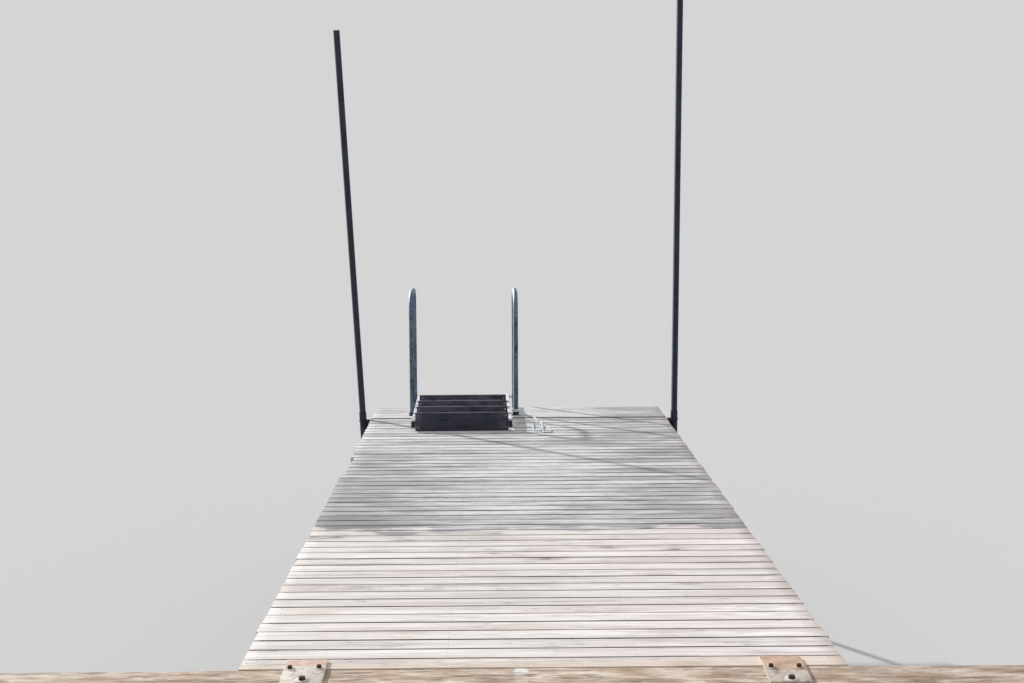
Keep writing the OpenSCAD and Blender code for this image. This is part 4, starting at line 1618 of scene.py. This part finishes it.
@dataclass
class DeckFrame:
    """Headers, joists and blocking under the boards, and the nails through the headers.

    Each joist's end takes nail_count nails, one nail_pitch below the other.
    """

    header_start: float = 0.03
    bays: int = 3
    nail_count: int = 3
    nail_pitch: float = 0.03
    nail_radius: float = 0.006
    nail_height: float = 0.0025

    def timber(
        self,
        shop: Workshop,
        name: str,
        length: float,
        place: Matrix,
        replaced: Sequence[str],
        stations: int = 33,
        **values: Value,
    ) -> None:
        """One kind of timber with its top under the boards.

        Args:
            shop: what makes the piece.
            name: the piece's name.
            length: one timber's length.
            place: where the first lies under the boards.
            replaced: the CAD nodes that the piece replaces.
            stations: how many rows of points each has along its length.
            values: the inputs of the run.
        """
        bar = Bar(length, FRAME_THICKNESS, FRAME_DEPTH, SAWN_EDGE, stations)
        under = DECK @ Matrix.Translation((0.0, 0.0, -BOARD_THICKNESS))
        shop.timber(name, bar, "frame_timber", under @ place, replaced, **values)

    def build(self, shop: Workshop) -> None:
        """Makes all of it."""
        middle = FRAME_THICKNESS / 2.0
        wide = 2.0 * JOIST_X + FRAME_THICKNESS
        for k, (node, y) in enumerate((("near_header", self.header_start), ("far_header", JOIST_END))):
            place = Matrix.Translation((0.0, y + middle, 0.0))
            self.timber(shop, f"{node}_timber", wide, place, [node], seed=11 + k)
        joists = ["joist_left_outer", "joist_left_inner", "joist_right_inner", "joist_right_outer"]
        place = Matrix.Translation((JOIST_X, (JOIST_START + JOIST_END) / 2.0, 0.0)) @ ALONG
        step = (0.0, JOIST_PITCH, 0.0)
        run = JOIST_END - JOIST_START
        self.timber(shop, "joist_timbers", run, place, joists, 60, count=len(joists), pitch=step, seed=21)
        row = DECK_LENGTH / 3.0
        self.timber(
            shop, "blocking_timbers", JOIST_PITCH - FRAME_THICKNESS,
            Matrix.Translation((-JOIST_PITCH, row + middle, 0.0)), ["blocking"], 12, count=self.bays,
            pitch=(JOIST_PITCH, 0.0, 0.0), rows=2, row_pitch=(0.0, row, 0.0), seed=31,
        )
        for name, y, out in (("near", self.header_start, -1.0), ("far", JOIST_END + FRAME_THICKNESS, 1.0)):
            place = DECK @ facing((-JOIST_X, y, -BOARD_THICKNESS - self.nail_pitch), (0.0, out, 0.0))
            own = place.to_3x3().inverted() @ DECK.to_3x3()
            shop.repeated(
                shop.fixings, f"{name}_header_nails",
                round_screw(self.nail_radius, self.nail_height).mesh("header_nail"), "plate_steel", place,
                pair=self.nail_count, pair_pitch=tuple(own @ Vector((0.0, 0.0, -self.nail_pitch))),
                count=len(joists), pitch=tuple(own @ Vector((JOIST_PITCH, 0.0, 0.0))), stray=0.003,
                spin=math.pi, seed=41,
            )


@dataclass
class DeckBoards:
    """51 boards in five lots, four wider boards past the poles, and the nails that hold them down.

    nail_at and nail_apart are shares of a board's width. worn is how far boards differ from one another, and
    end_worn the same for the wider ones.
    """

    board: float = 0.094
    edge: float = 0.0018
    groups: int = 5
    group_size: int = 11
    count: int = 51
    end_board: float = 0.11
    end_pitch: float = 0.114
    end_count: int = 4
    end_start: float = 5.12
    nail_radius: float = 0.0028
    nail_lift: float = 0.0002
    nail_at: float = 0.22
    nail_apart: float = 0.56
    nail_rows: int = 4
    worn: Mapping[str, Value] = field(
        default_factory=lambda: {"ends": 0.004, "shift": 0.002, "warp": 0.0012, "cup": 0.0004, "seed": 51}
    )
    short: Mapping[str, Value] = field(
        default_factory=lambda: {"short_first": 32, "short_count": 5, "short_cut": 0.02}
    )
    end_worn: Mapping[str, Value] = field(
        default_factory=lambda: {"ends": 0.003, "shift": 0.0006, "warp": 0.001, "cup": 0.0003, "seed": 52}
    )

    def build(self, shop: Workshop) -> None:
        """Makes all of it."""
        for group in range(self.groups):
            first = group * self.group_size
            count = min(self.group_size, self.count - first)
            names = (f"boards_{group + 1}", f"deck_boards_{group + 1}", f"board_nails_{group + 1}")
            sizes = (first * BOARD_PITCH, count, self.board, BOARD_PITCH)
            self.lay(shop, names, *sizes, first=first, **self.worn, **self.short)
        names = ("boards_end", "end_boards", "end_nails")
        sizes = (self.end_start, self.end_count, self.end_board, self.end_pitch)
        self.lay(shop, names, *sizes, first=self.count, **self.end_worn)

    def lay(
        self,
        shop: Workshop,
        names: tuple[str, str, str],
        start: float,
        count: int,
        width: float,
        pitch: float,
        **values: Value,
    ) -> None:
        """A lot of boards, with two nails where each crosses a joist.

        Args:
            shop: what makes the pieces.
            names: the name of the boards, of their CAD node and of the nails.
            start: the first board's near edge along the deck.
            count, width, pitch: how many boards there are, across one, and from one to the next.
            values: how they differ.
        """
        name, node, nails = names
        bar = Bar(DECK_WIDTH, width, BOARD_THICKNESS, self.edge)
        place = DECK @ Matrix.Translation((0.0, start + width / 2.0, 0.0))
        shop.timber(name, bar, "deck_board", place, [node], count=count, pitch=(0.0, pitch, 0.0), **values)
        shop.repeated(
            shop.fixings, nails, sunk_nail(self.nail_radius).mesh("nail"), "nail_steel",
            DECK @ Matrix.Translation((-JOIST_X, start + self.nail_at * width, self.nail_lift)), pair=2,
            pair_pitch=(0.0, self.nail_apart * width, 0.0), count=self.nail_rows,
            pitch=(JOIST_PITCH, 0.0, 0.0), rows=count, row_pitch=(0.0, pitch, 0.0), stray=0.005, spin=math.pi,
            seed=61,
        )


@dataclass
class Poles:
    """The two leaning poles, the clamped sleeves that they stand in, and the bar and brackets between."""

    radius: float = 0.0212
    wall: float = 0.0032
    across: float = 1.058
    sleeve: float = 0.02415
    weld_drop: float = 0.012
    weld_beads: int = 44
    rises: Mapping[Side, float] = field(default_factory=lambda: {Side.LEFT: 2.585, Side.RIGHT: 3.0})
    leans: Mapping[Side, float] = field(default_factory=lambda: {Side.LEFT: 2.4, Side.RIGHT: 0.4})
    clamp_heights: Mapping[Side, float] = field(default_factory=lambda: {Side.LEFT: 0.026, Side.RIGHT: 0.031})

    def foot(self, side: Side) -> Matrix:
        """A pole's frame: its origin where it passes the deck's top, with z up the pole."""
        place = DECK @ Matrix.Translation((side.value * self.across, GAP_MIDDLE, 0.0))
        upright = Matrix.Rotation(SLOPE, 4, "X")
        return place @ upright @ Matrix.Rotation(-math.radians(self.leans[side]), 4, "Y")

    def build(self, shop: Workshop) -> None:
        """Makes all of it."""
        bead = lathe([(0.0, -0.002), (0.0042, -0.0015), (0.0036, 0.002), (0.0, 0.0032)], 8)
        for side in Side:
            self.build_pole(shop, side)
            sleeve = shop.refined(f"pole_sleeve_{side.label}", "pole_steel", bevel=0.0006)
            bracket = shop.refined(f"pole_bracket_{side.label}", "pole_steel")
            # Painted sunlit side on the sleeve and bracket, on their far side towards the key lamp
            exposed(sleeve.data, PAINTED_SUNLIT_FAR_SIDE)
            exposed(bracket.data, PAINTED_SUNLIT_FAR_SIDE, "FACE")
            self.build_clamp(shop, side)
            shop.repeated(
                shop.rings, f"sleeve_weld_{side.label}", bead.mesh("bead", 80.0), "pole_steel",
                self.foot(side) @ Matrix.Translation((0.0, 0.0, -self.weld_drop)), count=self.weld_beads,
                radius=self.sleeve + 0.0008, uneven=0.16, seed=71,
            )
        shop.refined("pole_tie_bar", "rusty_bar")

    def build_pole(self, shop: Workshop, side: Side) -> None:
        """One pole, open at its top and cut level where it stands on the ground."""
        foot = self.foot(side)
        up = foot.to_3x3() @ Vector((0.0, 0.0, 1.0))
        low = -foot.translation.z / up.z
        line = np.array([(0.0, 0.0, s) for s in np.linspace(low, self.rises[side], 60)])
        tube = swept_tube(line, self.radius, self.wall, 40).moved(foot)
        at_foot = tube.points[:, 2] < 0.03
        shift = -tube.points[at_foot, 2] / up.z
        tube.points[at_foot] += shift[:, None] * np.array(up)
        # Painted sunlit side on the pole, towards the key lamp
        exposed(shop.add(f"pole_{side.label}_tube", tube, "pole_steel", [f"pole_{side.label}"]).data)

    def build_clamp(self, shop: Workshop, side: Side) -> None:
        """The set screw on a sleeve's far side that clamps it to its pole, with the nut that is welded on."""
        nut = lathe([(0.0, -0.002), (0.0098, -0.002), (0.0098, 0.005), (0.0088, 0.0057), (0.0, 0.0057)], 6)
        shank = lathe([(0.0, 0.0), (0.005, 0.0), (0.005, 0.0085), (0.0, 0.0085)], 16)
        head = lathe([(0.0, 0.0075), (0.0098, 0.0075), (0.0098, 0.0124), (0.0086, 0.0132), (0.0, 0.0132)], 6)
        screw = nut + shank + head.moved(Matrix.Rotation(0.35, 4, "Z"))
        place = self.foot(side) @ facing((0.0, self.sleeve, self.clamp_heights[side]), (0.0, 1.0, 0.0))
        shop.add(f"clamp_screw_{side.label}", screw.moved(place), "pole_steel")


@dataclass
class Handrails:
    """The two hoops beside the ladder, with their sockets, brackets and the bolts that carry the ladder."""

    radius: float = 0.01685
    wall: float = 0.0026
    height: float = 0.855
    depth: float = 0.465
    bend: float = 0.12
    low_end: float = -0.13
    foot_height: float = 0.022
    foot_radius: float = 0.023
    foot_waist: float = 0.0026
    outwards: Mapping[Side, float] = field(default_factory=lambda: {Side.LEFT: 0.34785, Side.RIGHT: 0.36585})

    def line(self, x: float) -> np.ndarray:
        """A hoop's middle in the ladder's frame, from its socket over and down past the deck's end."""
        near, far = PIVOT[1] - self.depth, PIVOT[1]
        top = self.height - self.radius
        spring = top - self.bend
        arc = np.linspace(0.0, math.pi / 2.0, 15)
        points = [(near, z) for z in np.linspace(self.foot_height, spring, 24)[:-1]]
        points += [(near + self.bend * (1.0 - math.cos(a)), spring + self.bend * math.sin(a)) for a in arc]
        points += [(y, top) for y in np.linspace(near + self.bend, far - self.bend, 8)[1:-1]]
        points += [(far - self.bend * (1.0 - math.sin(a)), spring + self.bend * math.cos(a)) for a in arc]
        points += [(far, z) for z in np.linspace(spring, self.low_end, 28)[1:]]
        return np.array([(x, y, z) for y, z in points])

    def build(self, shop: Workshop) -> None:
        """Makes all of it."""
        for side in Side:
            x = side.value * self.outwards[side]
            tube = swept_tube(self.line(x), self.radius, self.wall, 36).moved(LADDER)
            name = f"handrail_{side.label}"
            # Painted sunlit side on the hoop and its bracket, towards the key lamp
            exposed(shop.add(f"{name}_tube", tube, "galvanised_tube", [name]).data)
            bracket = shop.refined(f"handrail_bracket_{side.label}", "galvanised_tube")
            exposed(bracket.data, PAINTED_SUNLIT_FAR_SIDE, "FACE")
            shop.refined(f"pivot_bolt_{side.label}", "ladder_rail", bevel=0.0005)
            self.build_foot(shop, side, x)

    def build_foot(self, shop: Workshop, side: Side, x: float) -> None:
        """The socket that a hoop's near leg stands in, with its seam and its grub screws.

        Args:
            shop: what makes the pieces.
            side: left or right.
            x: the hoop's place across the ladder.
        """
        wide, high = self.foot_radius, self.foot_height
        bottom = [(0.0, 0.0), (wide - 0.001, 0.0), (wide, 0.001), (wide, 0.0055), (wide - 0.0022, 0.0072)]
        waist = [(wide - self.foot_waist, high - 0.0055), (wide - 0.001, high - 0.0042)]
        lip = [(wide - 0.001, high - 0.0015), (wide - 0.0028, high), (0.0, high)]
        foot = LADDER @ Matrix.Translation((x, PIVOT[1] - self.depth, 0.0))
        name = f"handrail_foot_{side.label}"
        cup = lathe(bottom + waist + lip, 48).moved(foot)
        shop.add(f"{name}_socket", cup, "black_foot", [name], 50.0)
        screw = round_screw(0.003, 0.0016, 12).moved(facing((0.0, 0.0, 0.0), (1.0, 0.0, 0.0)))
        shop.repeated(
            shop.rings, f"foot_screws_{side.label}", screw.mesh("foot_screw"), "galvanised_tube",
            foot @ Matrix.Translation((0.0, 0.0, high / 2.0)), count=3, radius=wide - self.foot_waist,
            start=0.5, seed=81,
        )


@dataclass
class BathingLadder:
    """The folded ladder: two rails with plugs in their ends, four treads with their screws, and an eye."""

    tread_length: float = 0.6
    tread_depth: float = 0.118
    tread_thickness: float = 0.028
    tread_edge: float = 0.004
    tread_shift: float = 0.01
    first_tread: float = 0.372
    tread_pitch: float = 0.245
    tread_count: int = 4
    rail_middle: float = 0.3125
    rail_size: tuple[float, float] = (0.025, 0.042)
    screw_inset: float = 0.017
    screw_drop: float = 0.038
    strap_thickness: float = 0.0016
    strap_inset: float = 0.0015

    def build(self, shop: Workshop) -> None:
        """Makes all of it."""
        top = self.tread_shift + self.tread_depth / 2.0
        middle = self.tread_thickness / 2.0 - self.first_tread
        shop.timber(
            "ladder_treads",
            Bar(self.tread_length, self.tread_thickness, self.tread_depth, self.tread_edge, 25, 4),
            "tread_wood", FOLDED @ Matrix.Translation((0.0, middle, top)),
            [f"ladder_tread_{k + 1}" for k in range(self.tread_count)], Body.LADDER, count=self.tread_count,
            pitch=(0.0, -self.tread_pitch, 0.0), seed=91,
        )
        outer = self.screw_inset - self.tread_length / 2.0
        corner = (outer, -self.first_tread, self.tread_shift - self.screw_drop)
        place = FOLDED @ facing(corner, (0.0, -1.0, 0.0))
        own = place.to_3x3().inverted() @ FOLDED.to_3x3()
        shop.repeated(
            shop.fixings, "tread_screws", round_screw(0.0055, 0.0028).mesh("tread_screw"), "screw_steel",
            place, Body.LADDER, pair=2, pair_pitch=tuple(own @ Vector((0.0, 0.0, 2.0 * self.screw_drop))),
            count=2, pitch=tuple(own @ Vector((self.tread_length - 2.0 * self.screw_inset, 0.0, 0.0))),
            rows=self.tread_count, row_pitch=tuple(own @ Vector((0.0, -self.tread_pitch, 0.0))), stray=0.0006,
            spin=math.pi, seed=92,
        )
        self.build_straps(shop)
        for side in Side:
            shop.refined(f"ladder_rail_{side.label}", "ladder_rail", Body.LADDER, bevel=0.0)
            shop.refined(f"rail_plug_{side.label}", "black_plug", Body.LADDER, bevel=0.0006)
        shop.refined("pull_eye", "ladder_rail", Body.LADDER, bevel=0.0)

    def build_straps(self, shop: Workshop) -> None:
        """The short plates on the rails' upper faces that the treads are held by, each with its rivet."""
        wide, half = self.rail_size[0] / 2.0 - self.strap_inset, self.tread_thickness / 2.0
        thick = self.strap_thickness
        outline = [(-wide, -half), (wide, -half), (wide, half), (-wide, half)]
        low = [(x, y, -0.0004) for x, y in outline]
        mid = [(x, y, thick - 0.0005) for x, y in outline]
        top = [(0.95 * x, 0.96 * y, thick) for x, y in outline]
        rivet = round_screw(0.0045, 0.0022).moved(Matrix.Translation((0.0, 0.0, thick)))
        strap = capped(np.array([low, mid, top])) + rivet
        corner = (-self.rail_middle, half - self.first_tread, self.rail_size[1] / 2.0)
        shop.repeated(
            shop.fixings, "tread_straps", strap.mesh("tread_strap"), "galvanised_tube",
            FOLDED @ Matrix.Translation(corner), Body.LADDER, count=2,
            pitch=(2.0 * self.rail_middle, 0.0, 0.0), rows=self.tread_count,
            row_pitch=(0.0, -self.tread_pitch, 0.0), seed=93,
        )


# Camera and studio


@dataclass
class PhotoCamera:
    """The camera where the photograph was taken from, with its own lens."""

    place: Place = (-0.14902, -4.24787, 3.80787)
    yaw: float = math.radians(0.6373)
    pitch: float = math.radians(-12.1225)
    roll: float = -0.0031563
    lens: float = 50.45
    sensor: float = 36.0

    def build(self) -> None:
        """Makes the camera and gives it to the scene."""
        east, north = math.sin(self.yaw), math.cos(self.yaw)
        ahead = Vector((east * math.cos(self.pitch), north * math.cos(self.pitch), math.sin(self.pitch)))
        level = Vector((north, -east, 0.0))
        above = level.cross(ahead)
        right = level * math.cos(self.roll) + above * math.sin(self.roll)
        up = above * math.cos(self.roll) - level * math.sin(self.roll)
        data = bpy.data.cameras.new("photo_camera")
        data.lens = self.lens
        data.sensor_width = self.sensor
        data.clip_end = 500.0
        camera = bpy.data.objects.new("photo_camera", data)
        turn = Matrix((right, up, -ahead)).transposed().to_4x4()
        camera.matrix_world = Matrix.Translation(self.place) @ turn
        bpy.context.scene.collection.objects.link(camera)
        bpy.context.scene.camera = camera


@dataclass
class Studio:
    """A pale floor, an even sky and one soft key lamp from behind on the left."""

    floor: Colour = (0.66, 0.66, 0.66)
    backdrop: Colour = (0.662, 0.662, 0.662)
    sky: float = 0.57
    key: float = 3.38
    softness: float = 1.4
    azimuth: float = 45.0
    elevation: float = 24.0
    reach: float = 120.0

    def build(self) -> None:
        """Makes the floor, the world and the lamp."""
        self.build_floor()
        self.build_world()
        self.build_lamp()
        bpy.context.scene.view_settings.view_transform = "Standard"

    def build_floor(self) -> None:
        """The floor, which is no part of the jetty."""
        far = self.reach
        mesh = bpy.data.meshes.new("studio_floor")
        corners = [(-far, -far, 0.0), (far, -far, 0.0), (far, far, 0.0), (-far, far, 0.0)]
        mesh.from_pydata(corners, [], [(0, 1, 2, 3)])
        finish = Finish("studio_floor")
        finish.graph.feed(finish.shader.inputs["Base Color"], self.floor)
        finish.shader.inputs["Roughness"].default_value = 0.9
        finish.shader.inputs["Specular IOR Level"].default_value = 0.0
        floor = new_piece("studio_floor", mesh, finish.material)

    def build_world(self) -> None:
        """The sky, which the camera sees as a plain backdrop."""
        world = bpy.data.worlds.new("studio")
        world.use_nodes = True
        world.node_tree.nodes.clear()
        graph = Graph(world.node_tree)
        light = graph.wire("ShaderNodeBackground", {"Color": (1.0, 1.0, 1.0, 1.0), "Strength": self.sky})
        seen = graph.wire("ShaderNodeBackground", {"Color": self.backdrop, "Strength": 1.0})
        ray = graph.add("ShaderNodeLightPath").outputs
        mirrored = graph.math("MAXIMUM", ray["Is Glossy Ray"], ray["Is Transmission Ray"])
        shown = graph.math("MAXIMUM", ray["Is Camera Ray"], mirrored)
        both = graph.wire("ShaderNodeMixShader", {0: shown, 1: light, 2: seen})
        graph.add("ShaderNodeOutputWorld", {"Surface": both})
        bpy.context.scene.world = world

    def build_lamp(self) -> None:
        """The key lamp."""
        data = bpy.data.lights.new("key", "SUN")
        data.energy = self.key
        data.angle = math.radians(self.softness)
        lamp = bpy.data.objects.new("key", data)
        away, high = math.radians(self.azimuth), math.radians(self.elevation)
        towards = Vector((math.sin(away) * math.cos(high), -math.cos(away) * math.cos(high), -math.sin(high)))
        lamp.matrix_world = towards.to_track_quat("-Z", "Y").to_matrix().to_4x4()
        bpy.context.scene.collection.objects.link(lamp)


def main() -> None:
    """Builds the jetty in order, from the camera and the rope to the ladder."""
    logging.basicConfig(level=logging.INFO, format="%(message)s")
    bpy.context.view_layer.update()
    finishes = Finishes()
    finishes.build()
    PhotoCamera().build()
    shop = Workshop(finishes, TimberRun("timber_run"), FixingRun("fixing_run"), RingRun("ring_run"))
    for part in (PullRope, ShoreSupport, DeckFrame, DeckBoards, Poles, Handrails, BathingLadder):
        part().build(shop)
    Studio().build()


if __name__ == "__main__":
    main()
